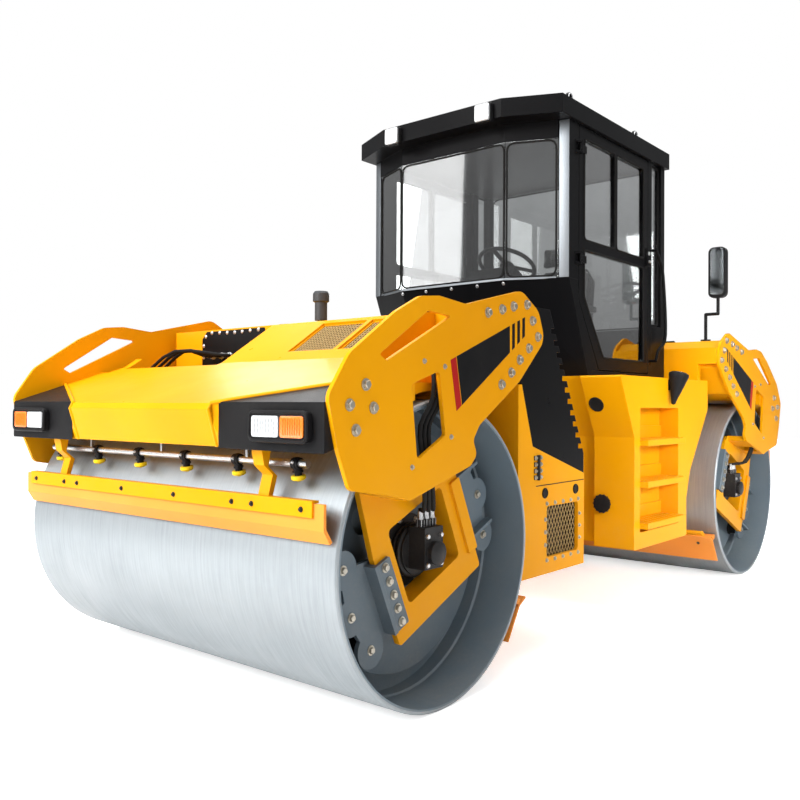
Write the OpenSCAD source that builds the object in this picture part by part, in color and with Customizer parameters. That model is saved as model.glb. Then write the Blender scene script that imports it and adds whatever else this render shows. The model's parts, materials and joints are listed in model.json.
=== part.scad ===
// Tandem drum road roller with a cab: two vibrating steel drums, each carried in the
// forks of its own frame, and the two frames hinged together at a vertical centre pin.
// The front of the machine faces -Y, its left side faces +X, and the ground is z = 0.

/* [Drums] */
// Outside diameter of a drum
drum_d = 1250; // [1150:10:1320]
// Rolling width of a drum
drum_w = 2130; // [1950:10:2250]
// Thickness of the rolled drum shell
drum_wall = 22; // [16:1:32]
// Depth of the open drum end, from the rim to the bulkhead
drum_recess = 280; // [265:1:320]
// Radius of the journal that a drum turns on
journal_r = 120; // [90:5:150]

/* [Frames] */
// Distance from the front drum axle to the steering pin
front_reach = 1440; // [1400:5:1600]
// Distance from the steering pin to the rear drum axle
rear_reach = 2250; // [2200:5:2400]
// Distance from the rear face of the front frame to the steering pin
hitch_front = 130; // [128:1:150]
// Distance from the steering pin to the front face of the side tanks
hitch_rear = 400; // [395:5:440]
// Radius of the steering pin
pin_r = 60; // [45:1:75]
// Height of the underside of both frames
belly_z = 400; // [370:5:420]
// Gap between a drum end and the side plate beside it
side_gap = 30; // [27:1:45]
// Thickness of the frame side plates
plate_t = 18; // [12:1:30]
// Thickness of the fork plate inside a drum end
fork_t = 26; // [18:1:32]
// Lean of the fork inside a drum end, in degrees
fork_tilt = 24; // [20:1:27]
// Gap between the drum shell and the frame behind it
drum_gap = 35; // [25:1:50]
// Wall of the sheet metal covers
cover_t = 20; // [12:1:25]
// Length of the side tanks along the machine
tank_len = 785; // [740:5:850]

/* [Cab] */
// Half of the outside width of the cab
cab_half = 740; // [690:10:770]
// Length of the cab from its front posts to its rear face
cab_len = 1360; // [1300:10:1420]
// How far the middle of the windscreen stands in front of the front posts
screen_bow = 145; // [100:5:190]
// Height of the cab floor's underside
floor_z = 1400; // [1380:5:1420]
// Height of the lower edge of the windscreen
sill_z = 1965; // [1900:5:2030]
// Height of the underside of the roof
eaves_z = 2880; // [2800:10:2960]
// Thickness of the roof
roof_t = 115; // [85:5:150]
// Thickness of the cab panels and doors
cab_wall = 36; // [28:1:46]
// Thickness of the window glass
glass_t = 8; // [5:1:12]

/* [Hidden] */
$fn = 64;
drum_r = drum_d / 2;
half_w = drum_w / 2;
wheelbase = front_reach + rear_reach;
axle_y = wheelbase / 2;
hitch_y = front_reach - axle_y;
plate_in = half_w + side_gap;
plate_out = plate_in + plate_t;
bulkhead_out = half_w - drum_recess;
bulkhead_t = 22;
fit = 0.3;

paint = "#f2ab16";
black_paint = "#1b1b1d";
drum_grey = "#5b656b";
bright_steel = "#c3c8cb";
rubber = "#18181a";
lens = "#f4f6f8";
scraper_orange = "#f07d23";
window_glass = [0.35, 0.42, 0.45, 0.35];

// Points of an outline whose corners are rounded to r, with n chords in each corner
function corner_arc(a, b, c, r, n) =
  let (u = (a - b) / norm(a - b), v = (c - b) / norm(c - b), half = acos(u * v) / 2)
  let (o = b + (u + v) / norm(u + v) * r / sin(half), p = b + u * r / tan(half), q = b + v * r / tan(half))
  let (a0 = atan2(p.y - o.y, p.x - o.x), a1 = atan2(q.y - o.y, q.x - o.x))
  let (sweep = ((a1 - a0 + 540) % 360) - 180)
  [for (i = [0:n]) o + r * [cos(a0 + sweep * i / n), sin(a0 + sweep * i / n)]];

function rounded(points, r, n = 4) =
  let (m = len(points))
  [for (i = [0:m - 1]) each corner_arc(
    points[(i + m - 1) % m], points[i], points[(i + 1) % m], is_list(r) ? r[i] : r, n)];

// Height of the straight line from p to q at the place y
function line_at(p, q, y) = p.y + (y - p.x) * (q.y - p.y) / (q.x - p.x);

// A [y, z] outline drawn out along x from x0 to x1
module along_x(x0, x1) {
  translate([x0, 0, 0]) rotate([90, 0, 90]) linear_extrude(x1 - x0) children();
}

// The same outline on the left and on the right side of the machine
module both_sides(x0, x1) {
  along_x(x0, x1) children();
  along_x(-x1, -x0) children();
}

module mirrored_x() {
  children();
  mirror([1, 0, 0]) children();
}

// Round bar from x0 to x1 at the place [y, z]
module bar_x(x0, x1, place, r) {
  translate([x0, place.x, place.y]) rotate([0, 90, 0]) cylinder(r = r, h = x1 - x0);
}

// An end unit is drawn with its drum axle at the origin and its outer end towards -y
module at_front() { translate([0, -axle_y, drum_r]) children(); }
module at_rear() { translate([0, axle_y, drum_r]) rotate(180) children(); }

// Hose: a round tube swept along a smooth curve through its route points
function spline(a, b, c, d, t) =
  0.5 * (2 * b + (c - a) * t + (2 * a - 5 * b + 4 * c - d) * t * t + (3 * b - a - 3 * c + d) * t * t * t);
function curve(p, n) =
  let (m = len(p) - 1)
  concat([for (i = [0:m - 1]) for (k = [0:n - 1])
    spline(p[max(i - 1, 0)], p[i], p[i + 1], p[min(i + 2, m)], k / n)], [p[m]]);

module hose(route, r, sides = 10, n = 3, across = [0.9, 0.25, 0.1]) {
  c = curve(route, n);
  m = len(c) - 1;
  rings = [for (i = [0:m])
    let (last = len(route) - 1)
    let (t = i == 0 ? route[1] - route[0] : i == m ? route[last] - route[last - 1] : c[i + 1] - c[i - 1])
    let (w = cross(t / norm(t), across))
    let (u = w / norm(w), v = cross(t / norm(t), u))
    [for (k = [0:sides - 1]) c[i] + r * (cos(360 * k / sides) * u + sin(360 * k / sides) * v)]];
  points = [for (ring = rings) each ring];
  walls = [for (i = [0:m - 1]) for (k = [0:sides - 1])
    let (a = i * sides + k, b = i * sides + (k + 1) % sides) [a, a + sides, b + sides, b]];
  ends = [[for (k = [0:sides - 1]) k], [for (k = [sides - 1:-1:0]) m * sides + k]];
  polyhedron(points, concat(walls, ends), convexity = 6);
}

// Drum: rolled shell with two welded bulkheads and their bored hubs
hub_r = journal_r + 70;
hub_len = 70;
rim_chamfer = 6;
band_w = 70;
band_t = 8;

module drum() {
  shell_in = drum_r - drum_wall;
  bore = journal_r + fit;
  b1 = bulkhead_out;
  b0 = bulkhead_out - bulkhead_t;
  h0 = bulkhead_out - hub_len;
  c = rim_chamfer;
  w = b1 + band_w;
  color(drum_grey) rotate([0, 90, 0]) rotate_extrude() polygon([
    [drum_r - c, -half_w], [drum_r, c - half_w], [drum_r, half_w - c], [drum_r - c, half_w],
    [shell_in, half_w], [shell_in, w], [shell_in - band_t, w - band_t], [shell_in - band_t, b1], [bore, b1],
    [bore, h0], [hub_r, h0], [hub_r, b0], [shell_in, b0],
    [shell_in, -b0], [hub_r, -b0], [hub_r, -h0], [bore, -h0], [bore, -b1],
    [shell_in - band_t, -b1], [shell_in - band_t, band_t - w], [shell_in, -w], [shell_in, -half_w]
  ]);
}

// Frame side plate: the outline hugs the drum end from above
plate_outline = [
  [-716, 628], [-611, 779], [-366, 943], [-217, 1016], [-102, 1028], [77, 1012], [503, 1112],
  [650, 1033], [705, 903], [486, 706], [176, 517], [132, 457], [159, 396], [116, 353],
  [-276, 241], [-415, 271], [-607, 302], [-668, 447]
];
plate_window = [[-273, 678], [-100, 734], [-59, 482], [-237, 389]];
lifting_slot = [[-455, 782], [-171, 964], [-22, 954], [-415, 760]];
plate_radii = [60, 120, 100, 90, 60, 120, 90, 90, 70, 60, 60, 30, 30, 40, 60, 60, 40, 60];
window_corner = 16;
slot_corner = 5;

module side_plates() {
  color(paint) both_sides(plate_in, plate_out) difference() {
    polygon(rounded(plate_outline, plate_radii, 6));
    polygon(rounded(plate_window, window_corner));
    polygon(rounded(lifting_slot, slot_corner));
  }
}

// Fork: a leaning channel frame inside the drum end, cranked outwards to the side plate
fork_out = half_w - 85;
fork_in = fork_out - fork_t;
fork_half = 300;
fork_arm = 115;
fork_foot = -250;
fork_sole = -130;
fork_head = 205;
fork_rib_t = 16;
fork_rib_depth = 70;
lip_t = 14;
lip_w = 62;
crank_t = 35;
hose_notch = [-185, -60];
function lean(p) = [p.x * cos(fork_tilt) - p.y * sin(fork_tilt), p.x * sin(fork_tilt) + p.y * cos(fork_tilt)];
function leaning_box(x0, x1, y0, y1) = [lean([x0, y0]), lean([x1, y0]), lean([x1, y1]), lean([x0, y1])];
crank_line = [[-415, 271], [-276, 241], [116, 353]];
hole_half = fork_half - fork_arm;

module fork_outline() {
  up = [0, crank_t];
  polygon(rounded(concat(
    [lean([-fork_half, fork_foot]), lean([fork_half, fork_foot]), lean([fork_half, 255])],
    [crank_line[2] + up, crank_line[1] + up, crank_line[0] + up, crank_line[0]],
    [lean([-fork_half, 150])]
  ), 14));
}

module forks(lip_side) {
  lip_edge = lip_side > 0 ? fork_half - lip_w : -fork_half;
  up = [0, crank_t];
  rib = fork_rib_t;
  color(paint) mirrored_x() {
    along_x(fork_in, fork_out) difference() {
      fork_outline();
      polygon(rounded(leaning_box(-hole_half, hole_half, fork_sole, fork_head), 24));
    }
    along_x(fork_out - 1, fork_out + lip_t)
      polygon(rounded(leaning_box(lip_edge, lip_edge + lip_w, fork_foot + 95, 190), 8));
    along_x(fork_in - fork_rib_depth, fork_in + 1) difference() {
      polygon(rounded(leaning_box(-hole_half - rib, hole_half + rib, fork_sole - rib, fork_head + rib), 24 + rib));
      polygon(rounded(leaning_box(-hole_half, hole_half, fork_sole, fork_head), 24));
    }
    difference() {
      along_x(fork_out - 1, plate_in) polygon(concat(
        crank_line, [crank_line[2] + up, crank_line[1] + up, crank_line[0] + up]
      ));
      along_x(fork_out + 20, plate_in + 1) translate([hose_notch[0], 0])
        square([hose_notch[1] - hose_notch[0], 600]);
    }
  }
}

// Drum bracket: the fixed carrier disc with the journal that the drum turns on, and the
// lobed plates bolted to the fork, with rubber buffers between them
carrier_r = 515;
carrier_t = 20;
carrier_in = bulkhead_out + 42;
carrier_out = carrier_in + carrier_t;
carrier_windows = 6;
carrier_window_r = 62;
carrier_window_pitch = 290;
buffer_pitch = 457;
buffer_angles = [182, 206, 229];
buffer_r = 46;
lobe_r = 74;
buffer_plate_t = 20;
buffer_plate_out = fork_in - 15;
buffer_plate_in = buffer_plate_out - buffer_plate_t;
buffer_len = buffer_plate_in - carrier_out;
web_t = 20;
web_span = [-180, 125];
strip_t = 16;
strip_in = -fork_half + 72;
fin_t = 14;
fin_len = 150;

module buffer_places() {
  for (half_turn = [0, 180]) for (a = buffer_angles)
    rotate([a + half_turn, 0, 0]) translate([0, buffer_pitch, 0]) rotate([0, 90, 0]) children();
}

module buffers() {
  h = buffer_len - 2 * fit;
  color(rubber) mirrored_x() buffer_places() translate([0, 0, carrier_out + fit]) rotate_extrude() polygon([
    [0, 0], [buffer_r, 0], [buffer_r, 8], [buffer_r - 8, 14], [buffer_r - 8, h - 14], [buffer_r, h - 8],
    [buffer_r, h], [0, h]
  ]);
}

// One lobed plate: folded out over the face of the arm, or stiffened by two fins
module buffer_plate(folded) {
  root = fork_half - 30;
  edge = -fork_half - fit;
  for (a = buffer_angles) rotate([a, 0, 0]) translate([buffer_plate_in, buffer_pitch, 0])
    rotate([0, 90, 0]) cylinder(r = lobe_r, h = buffer_plate_t);
  along_x(buffer_plate_in, buffer_plate_out) polygon(concat(
    [for (a = buffer_angles) (buffer_pitch + 22) * [cos(a), sin(a)]],
    [lean([-root, web_span[0]]), lean([-root, web_span[1]])]
  ));
  along_x(buffer_plate_in, fork_out + (folded ? strip_t + fit : -4))
    polygon(leaning_box(edge - web_t, edge, web_span[0], web_span[1]));
  if (folded) along_x(fork_out + fit, fork_out + strip_t + fit - 1)
    polygon(rounded(leaning_box(edge - web_t / 2, strip_in, web_span[0] + 3, web_span[1] - 3), web_t / 3));
  else for (e = [web_span[0], web_span[1] - fin_t]) along_x(buffer_plate_in, fork_out - 4)
    polygon(leaning_box(edge - web_t - fin_len, edge - web_t + 1, e, e + fin_t));
}

module drum_brackets(fold_turn) {
  color(drum_grey) mirrored_x() {
    for (half_turn = [0, 180]) rotate([half_turn, 0, 0]) buffer_plate(half_turn == fold_turn);
    rotate([0, 90, 0]) difference() {
      union() {
        translate([0, 0, bulkhead_out - hub_len]) cylinder(r = journal_r, h = carrier_out - bulkhead_out + hub_len);
        translate([0, 0, carrier_in]) cylinder(r = carrier_r, h = carrier_t);
      }
      for (k = [0:carrier_windows - 1]) rotate(360 * k / carrier_windows)
        translate([carrier_window_pitch, 0, carrier_in - 1]) cylinder(r = carrier_window_r, h = carrier_t + 2);
    }
  }
}

// Hydraulic motor on the drum axis, with a valve block and two hose unions
motor_flange_r = 150;
motor_r = 100;
motor_len = 55;
valve_w = 120;
valve_h = 170;
valve_len = 85;
union_r = 18;
union_h = 30;
port_places = [-38, 0, 38];
motor_end = carrier_out + 26 + motor_len;
port_x = motor_end + valve_len / 2;
port_z = valve_h / 2 + 20;

module motors() {
  color(rubber) mirrored_x() {
    bar_x(carrier_out + fit, carrier_out + 26, [0, 0], motor_flange_r);
    bar_x(carrier_out + 25, motor_end, [0, 0], motor_r);
    translate([motor_end - 1, -valve_w / 2, 20 - valve_h / 2]) cube([valve_len + 1, valve_w, valve_h]);
    bar_x(motor_end + valve_len - 1, motor_end + valve_len + 18, [0, 0], 46);
    for (y = port_places) translate([port_x, y, port_z - 1]) cylinder(r = union_r, h = union_h + 1);
  }
}

// Hoses from the hood down behind the side plate and through the crank's notch to the motor
hose_r = 9;
hose_x = half_w + side_gap / 2;

function hose_route(k, start) = let (d = k - 1) concat(start, [
  [plate_in - 85, 20 + 40 * d, pocket_z + 70], [hose_x, -70 + 30 * d, pocket_z - 60],
  [hose_x, -150 + 28 * d, 520], [hose_x, -140 + 26 * d, 400], [hose_x - 4, -122 + 26 * d, 300],
  [hose_x - 40, -70 + 30 * d, 188], [port_x, port_places[k], port_z + union_h + 40],
  [port_x, port_places[k], port_z + union_h + fit]
]);

// From the inner wall of the hood's pocket
module wall_hoses() {
  for (k = [0:2]) hose(hose_route(k, [
    [pocket_in + fit, 130 + 60 * (k - 1), pocket_z + 55], [pocket_in + 80, 130 + 60 * (k - 1), pocket_z + 55]
  ]), hose_r);
}

// From the back wall of the open pocket, in a loop over its floor
module loop_hoses() {
  for (k = [0:2]) hose(hose_route(k, [
    [bay_wall_x + 60 + 70 * k, bay_y[1] - fit, loop_z], [bay_wall_x + 60 + 70 * k, bay_y[1] - 70, loop_z],
    [bay_wall_x + 280, bay_y[1] - 175 + 28 * (k - 1), loop_z + 20]
  ]), hose_r);
}

module hoses(open_right) {
  color(rubber) {
    wall_hoses();
    mirror([1, 0, 0]) if (open_right) loop_hoses(); else wall_hoses();
  }
}

// Hood over the drum: a low nose deck, a steep air intake slope and a flat rear
hood_clear = 35;
deck_rear = 640;
nose_low = [-700, 438];
nose_brow = [-744, 580];
nose_top = [-728, 604];
slope_foot = [-135, 800];
slope_head = [195, 1010];
roofline = [560, 1055];
under_rear = [-300, 560];
hood_heel = [455, 690];
hood_tail = 865;
hood_profile = [
  nose_low, nose_brow, nose_top, slope_foot, slope_head, roofline, [deck_rear, 1000], [deck_rear, hood_tail],
  hood_heel, under_rear
];
pod_in = plate_in - 595;
pod_face = -715;
pod_tail = -440;
pocket_in = plate_in - 335;
pocket_z = 690;
pocket_y = [-230, 330];
bay_x = [plate_in - 905, plate_in - 120];
bay_y = [-165, 205];
bay_wall_x = plate_in - 615;
loop_z = pocket_z + 175;
hose_slot = 62;
vents_x = [[pocket_in - 555, pocket_in - 265], [pocket_in - 238, pocket_in - 95]];
vent_s = [83, 360];
vent_depth = 34;
slope_angle = atan2(slope_head.y - slope_foot.y, slope_head.x - slope_foot.x);

// Underside of the nose, a straight line up from its lower edge
function nose_under(y) = line_at(nose_low, under_rear, y);

module hood_section() {
  difference() {
    polygon(hood_profile);
    circle(r = drum_r + hood_clear);
  }
}

module pod_plan() {
  translate([0, 0, 200]) linear_extrude(900) polygon([
    [pod_in, -900], [plate_in + 1, -900], [plate_in + 1, pod_tail], [pod_in, nose_top.x - 2]
  ]);
}

module on_slope() {
  translate([0, slope_foot.x, slope_foot.y]) rotate([slope_angle, 0, 0]) children();
}

// The front hood has two meshed air intakes on its left, and an open bay on its right
module hood(front) {
  color(paint) difference() {
    along_x(-plate_in, plate_in) hood_section();
    mirrored_x() pod_plan();
    mirrored_x() along_x(plate_in - hose_slot, plate_in + 1) translate([pocket_y[0], 400])
      square([pocket_y[1] - pocket_y[0], 800]);
    along_x(pocket_in, plate_in + 1) translate([pocket_y[0], pocket_z]) square([pocket_y[1] - pocket_y[0], 600]);
    if (front) {
      along_x(-bay_x[1], -bay_x[0]) translate([bay_y[0], pocket_z]) square([bay_y[1] - bay_y[0], 600]);
      along_x(-plate_in - 1, -bay_x[1] + 1) translate([-60, pocket_z]) square([bay_y[1] + 60, 600]);
      on_slope() for (x = vents_x) translate([x[0], vent_s[0], -vent_depth])
        cube([x[1] - x[0], vent_s[1] - vent_s[0], 2 * vent_depth]);
    } else {
      along_x(-plate_in - 1, -pocket_in) translate([pocket_y[0], pocket_z]) square([pocket_y[1] - pocket_y[0], 600]);
    }
  }
}

// Black pods at the corners of the nose, under the plane of the deck
module lamp_pods() {
  color(black_paint) mirrored_x() intersection() {
    along_x(pod_in, plate_in) difference() {
      polygon([
        [pod_face, nose_under(pod_face)], [pod_face, line_at(nose_top, slope_foot, pod_face)], slope_foot, under_rear
      ]);
      circle(r = drum_r + hood_clear);
    }
    pod_plan();
  }
}

// Headlamp and direction indicator side by side on the front of a pod
lamp_w = 300;
lamp_h = 108;
lamp_depth = 34;
lamp_x = plate_in - 355;
lamp_z = 468;

module lamps() {
  color(lens) mirrored_x() along_box([lamp_x, pod_face - lamp_depth, lamp_z], [lamp_w, lamp_depth - fit, lamp_h], 26);
}

// Box whose corners are rounded in the x-z plane
module along_box(corner, size, r) {
  translate([corner.x, corner.y + size.y, corner.z]) rotate([90, 0, 0]) linear_extrude(size.y)
    polygon(rounded([[0, 0], [size.x, 0], [size.x, size.z], [0, size.z]], r));
}

// Flat mesh of diamond openings
mesh_pitch = 52;
mesh_open = 29;
module mesh(w, h) {
  nx = floor((w - 20) / mesh_pitch);
  ny = floor((h - 20) / mesh_pitch);
  difference() {
    square([w, h]);
    for (i = [0:2 * nx - 2]) for (j = [0:2 * ny - 2]) if ((i + j) % 2 == 0)
      translate([w / 2 + (i - nx + 1) * mesh_pitch / 2, h / 2 + (j - ny + 1) * mesh_pitch / 2])
        rotate(45) square(mesh_open, center = true);
  }
}

// Scrapers: a bolted steel angle with a plastic blade against the drum, at both sides of it
bar_top = 264;
bar_low = 204;
bar_t = 9;
bar_half = half_w - 70;
bar_face = -674;
scraper_arm_x = plate_in - 405;
scraper_arm_w = 58;
scraper_support_half = 700;
inner_foot = [601, -312];
inner_toe = [613, -288];
inner_heel = [690, -262];

module scrapers() {
  y = bar_face + bar_t + fit;
  color(scraper_orange) along_x(-half_w + 20, half_w - 20) {
    polygon([
      [y, bar_top - bar_t - fit], [y + 12, bar_top - bar_t - fit], [y + 12, 168], [-622, 120], [-634, 112], [y, 160]
    ]);
    polygon([[572, -276], [566, -300], inner_foot - [0.5, 0.2], inner_toe - [0.5, 0.2]]);
  }
}

module scraper_bars() {
  under = low_z - fit;
  y = bar_face;
  color(paint) {
    along_x(-bar_half, bar_half) {
      polygon([
        [y, bar_top], [y + 34, bar_top], [y + 34, bar_top - bar_t], [y + bar_t, bar_top - bar_t], [y + bar_t, bar_low],
        [y, bar_low]
      ]);
      polygon([inner_toe, inner_foot, inner_heel, inner_heel + [0, 17], inner_heel + [-40, 12]]);
    }
    along_x(-scraper_support_half, scraper_support_half) polygon([
      inner_heel + [-40, 12], inner_heel, [inner_heel.x, under], [inner_heel.x - 25, under]
    ]);
    both_sides(scraper_arm_x, scraper_arm_x + scraper_arm_w) polygon([
      [-690, nose_under(-690) - fit], [-640, nose_under(-640) - fit], [-655, 372], [-612, 334], [-634, bar_top - 4],
      [-656, bar_top - 4], [-634, 340], [-676, 376]
    ]);
  }
}

// Spray bar that wets the drum, on three hangers below the nose, with its row of nozzles
spray_y = -600;
spray_z = 385;
spray_r = 14;
hanger_x = plate_in - 535;
hanger_t = 12;
nozzle_count = 6;
nozzle_step = 0.187;
nozzle_tilt = 8;
nozzle_r = 12;
nozzle_h = 46;

module spray_bar() {
  span = drum_w - 330;
  color(bright_steel) {
    bar_x(-span / 2, span / 2, [spray_y, spray_z], spray_r);
    for (x = [-hanger_x, 0, hanger_x]) along_x(x, x + hanger_t) polygon([
      [spray_y - 8, spray_z], [spray_y + 8, spray_z],
      [spray_y + 8, nose_under(spray_y + 8) - fit], [spray_y - 8, nose_under(spray_y - 8) - fit]
    ]);
    for (i = [0:nozzle_count - 1]) translate([span * nozzle_step * (i - (nozzle_count - 1) / 2), spray_y, spray_z])
      rotate([nozzle_tilt, 0, 0]) translate([0, 0, -nozzle_h]) cylinder(r = nozzle_r, h = nozzle_h);
  }
}

// Transom and bulkhead that tie the two side plates together behind the drum
transom_t = 50;
wall_y = drum_r + drum_gap;
module transom() {
  along_x(-plate_in, plate_in) translate([deck_rear, 890]) square([transom_t, 110]);
  along_x(10 - panel_in, panel_in - 10) translate([deck_rear, 705]) square([transom_t, 186]);
}

front_end_y = hitch_y - hitch_front;
rear_start_y = hitch_y + hitch_rear;
front_len = front_end_y + axle_y;
body_half = half_w - 65;
panel_in = body_half - cover_t;
low_z = belly_z + 20 - drum_r;
shelf_z = 235;
front_core_half = body_half - 120;
lug_t = 40;
lug_half = hitch_front - 15;
lug_gap = 3;
pin_low = belly_z + 110;
pin_high = drum_r + shelf_z;
mid_lug = (pin_low + pin_high - lug_t) / 2;

module hitch_lug(z, y0) {
  difference() {
    union() {
      translate([-lug_half, min(y0, hitch_y), z]) cube([2 * lug_half, abs(y0 - hitch_y), lug_t]);
      translate([0, hitch_y, z]) cylinder(r = lug_half, h = lug_t);
    }
    translate([0, hitch_y, z - 1]) cylinder(r = pin_r + fit, h = lug_t + 2);
  }
}

module front_chassis() {
  color(paint) {
    at_front() {
      transom();
      along_x(-front_core_half, front_core_half) polygon([
        [wall_y, low_z], [front_len, low_z], [front_len, shelf_z], [wall_y, shelf_z]
      ]);
      along_x(-panel_in, panel_in) translate([wall_y, low_z]) square([cover_t, 700 - low_z]);
    }
    for (z = [pin_low, pin_high - lug_t]) hitch_lug(z, front_end_y - 1);
  }
}

// Engine bay behind the front drum, under a black cover whose rear slopes forward
bay_front = wall_y + cover_t;
cover_front = deck_rear + transom_t + fit;
bay_top = 1075;
bay_rear_top = 900;
bay_foot = 250;
bay_end = front_len - 6;

module engine_cover() {
  lift = cover_t / sin(atan2(bay_top - bay_foot, bay_end - bay_rear_top));
  color(black_paint) at_front() along_x(-panel_in, panel_in) polygon([
    [cover_front, bay_top], [bay_rear_top, bay_top], [bay_end, bay_foot],
    [bay_end - lift, bay_foot], [bay_rear_top - lift / 2, bay_top - cover_t], [cover_front, bay_top - cover_t]
  ]);
}

// Side panels of the engine bay, with a comb of teeth that stands past the sloping cover
panel_foot = [[cover_front, 700], [bay_front + 110, 405], [bay_end, bay_foot]];
comb_reach = 50;
comb_pitch = 58;
comb_gap = 26;
comb_start = 128;
bay_lean = (bay_end - bay_rear_top) / (bay_top - bay_foot);
comb_count = floor((bay_top - bay_foot - comb_start - 20) / comb_pitch);

module engine_side_panels() {
  toe = comb_reach / bay_lean;
  color(black_paint) at_front() both_sides(panel_in, body_half) difference() {
    polygon(concat(panel_foot, [
      [bay_end, bay_foot + toe], [bay_rear_top + comb_reach, bay_top], [cover_front, bay_top],
      [cover_front, 889], [deck_rear + fit, 889], [deck_rear + fit, hood_tail - 1], hood_heel + [115, 98]
    ]));
    for (i = [0:comb_count - 1]) {
      z = comb_start + i * comb_pitch;
      translate([bay_end - z * bay_lean + 4, bay_foot + z]) square([comb_reach + 40, comb_gap]);
    }
  }
}

// Lower side panels of the engine bay, with a meshed window
mesh_window = [front_len - 385, -145, front_len - 65, 105];
mesh_t = 8;
module engine_doors() {
  w = mesh_window;
  color(paint) at_front() both_sides(panel_in, body_half) difference() {
    polygon(concat(
      [[wall_y, low_z - 20], [front_len, low_z - 20], [front_len, bay_foot - fit]],
      [for (p = [panel_foot[2], panel_foot[1], panel_foot[0]]) p - [0, fit]],
      [[wall_y, 700 - fit]]
    ));
    polygon(rounded([[w[0], w[1]], [w[2], w[1]], [w[2], w[3]], [w[0], w[3]]], 18));
  }
}

module front_grilles() {
  w = mesh_window;
  color("#3d2c14") at_front() {
    on_slope() for (x = vents_x) translate([x[0] + fit, vent_s[0] + fit, -20]) linear_extrude(mesh_t)
      mesh(x[1] - x[0] - 2 * fit, vent_s[1] - vent_s[0] - 2 * fit);
    mirrored_x()     along_x(panel_in - mesh_t - fit, panel_in - fit)
      translate([w[0] - 20, w[1] - 20]) mesh(w[2] - w[0] + 40, w[3] - w[1] + 40);
  }
}

engine_half = 430;
engine_w = 250;
engine_h = 400;

module engine_block() {
  color("#4a4a4c") at_front() along_x(-engine_half, engine_half)
    translate([bay_front + 30, shelf_z]) square([engine_w, engine_h]);
}

// Exhaust stack with its cap on the crest of the hood
stack_y = 354;
stack_r = 32;

module exhaust_cap() {
  foot = line_at(slope_head, roofline, stack_y + stack_r) + fit;
  color(black_paint) at_front() translate([0, stack_y, foot]) rotate_extrude() polygon([
    [0, 0], [stack_r, 0], [stack_r, 92], [42, 98], [42, 138], [34, 150], [0, 150]
  ]);
}

// Rear frame: the box under the cab, its deck and the rear transom
core_half = body_half - 210;
tank_in = core_half + fit;
tank_out = body_half + 40;
deck_t = 40;
nose_reach = 185;
core_set_back = 40;
seam_z = 1046;
arch_r = drum_r + drum_gap + 5;
deck_end = axle_y - deck_rear - transom_t;

module rear_chassis() {
  y0 = rear_start_y + core_set_back;
  color(paint) {
    at_rear() transom();
    along_x(-core_half, core_half) difference() {
      polygon([
        [y0, belly_z + 20], [axle_y, belly_z + 20], [deck_end, floor_z - deck_t], [deck_end, floor_z],
        [y0 - nose_reach, floor_z], [y0, seam_z]
      ]);
      translate([axle_y, drum_r]) circle(r = arch_r);
    }
    for (z = [pin_low + lug_t + lug_gap, pin_high - 2 * lug_t - lug_gap]) hitch_lug(z, y0 + 1);
  }
}

module steering_pin() {
  color(bright_steel) translate([0, hitch_y, pin_low - 10]) cylinder(r = pin_r, h = pin_high - pin_low + 20);
}

// Side tanks with the step recess, and a rear edge that sweeps back over the drum
tank_end = rear_start_y + tank_len;
step_y0 = rear_start_y + 80;
step_y1 = rear_start_y + 645;
step_depth = 125;
recess_low = 495;
recess_high = 1215;
step_t = 34;
step_out = 48;
step_count = 3;
step_rise = (recess_high - recess_low) / step_count;
cap_r = 46;
cap_h = 20;
cap_x = tank_in + 56;

module side_tanks() {
  color(paint) mirrored_x() {
    difference() {
      along_x(tank_in, tank_out) polygon(rounded([
        [rear_start_y, belly_z], [tank_end, belly_z], [tank_end - 6, drum_r + 15], [tank_end + 60, drum_r + 190],
        [deck_end - 5, drum_r + 580], [deck_end - 5, floor_z], [rear_start_y - nose_reach, floor_z], [rear_start_y, seam_z]
      ], 10));
      translate([tank_out - step_depth, step_y0, recess_low])
        cube([step_depth + 1, step_y1 - step_y0, recess_high - recess_low]);
    }
    translate([cap_x, rear_start_y + 1, 655]) rotate([90, 0, 0]) cylinder(r = cap_r, h = cap_h + 1);
  }
}

module steps() {
  color(paint) mirrored_x() for (i = [0:step_count - 1])
    translate([tank_out - step_depth + fit, step_y0 + fit, recess_low + i * step_rise + 20]) {
      cube([step_depth + step_out, step_y1 - step_y0 - 2 * fit, step_t]);
      cube([12, step_y1 - step_y0 - 2 * fit, 110]);
    }
}

// Cab
cab_rear_y = deck_end - 20;
corner_y = cab_rear_y - cab_len;
screen_y = corner_y - screen_bow;
screen_half = 392;
sill_t = 40;
toe_y = corner_y + 285;
heel_y = toe_y + 90;
knee_z = sill_z - 115;
post_w = 60;
front_post_depth = 110;
post_b_y = cab_rear_y - 275;
roof_side = 25;
roof_tail = 24;
visor = 128;
roof_front_half = 445;
rear_wall_h = 330;
door_gap = 6;
door_front = corner_y + front_post_depth + door_gap;

module plan(front, corner, half, rear, front_half) {
  polygon([[-half, rear], [-half, corner], [-front_half, front], [front_half, front], [half, corner], [half, rear]]);
}

module cab_floor() {
  color(black_paint) translate([-cab_half, toe_y, floor_z]) cube([2 * cab_half, cab_rear_y - toe_y, sill_t]);
}

module front_tub(w) {
  hull() {
    translate([0, 0, sill_z - 1]) linear_extrude(1)
      plan(screen_y + w, corner_y + w, cab_half - w, toe_y + 300, screen_half);
    translate([0, 0, floor_z]) linear_extrude(1)
      plan(toe_y - 150 + w, toe_y - 50 + w, cab_half - w, toe_y + 300, screen_half);
  }
}

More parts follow.
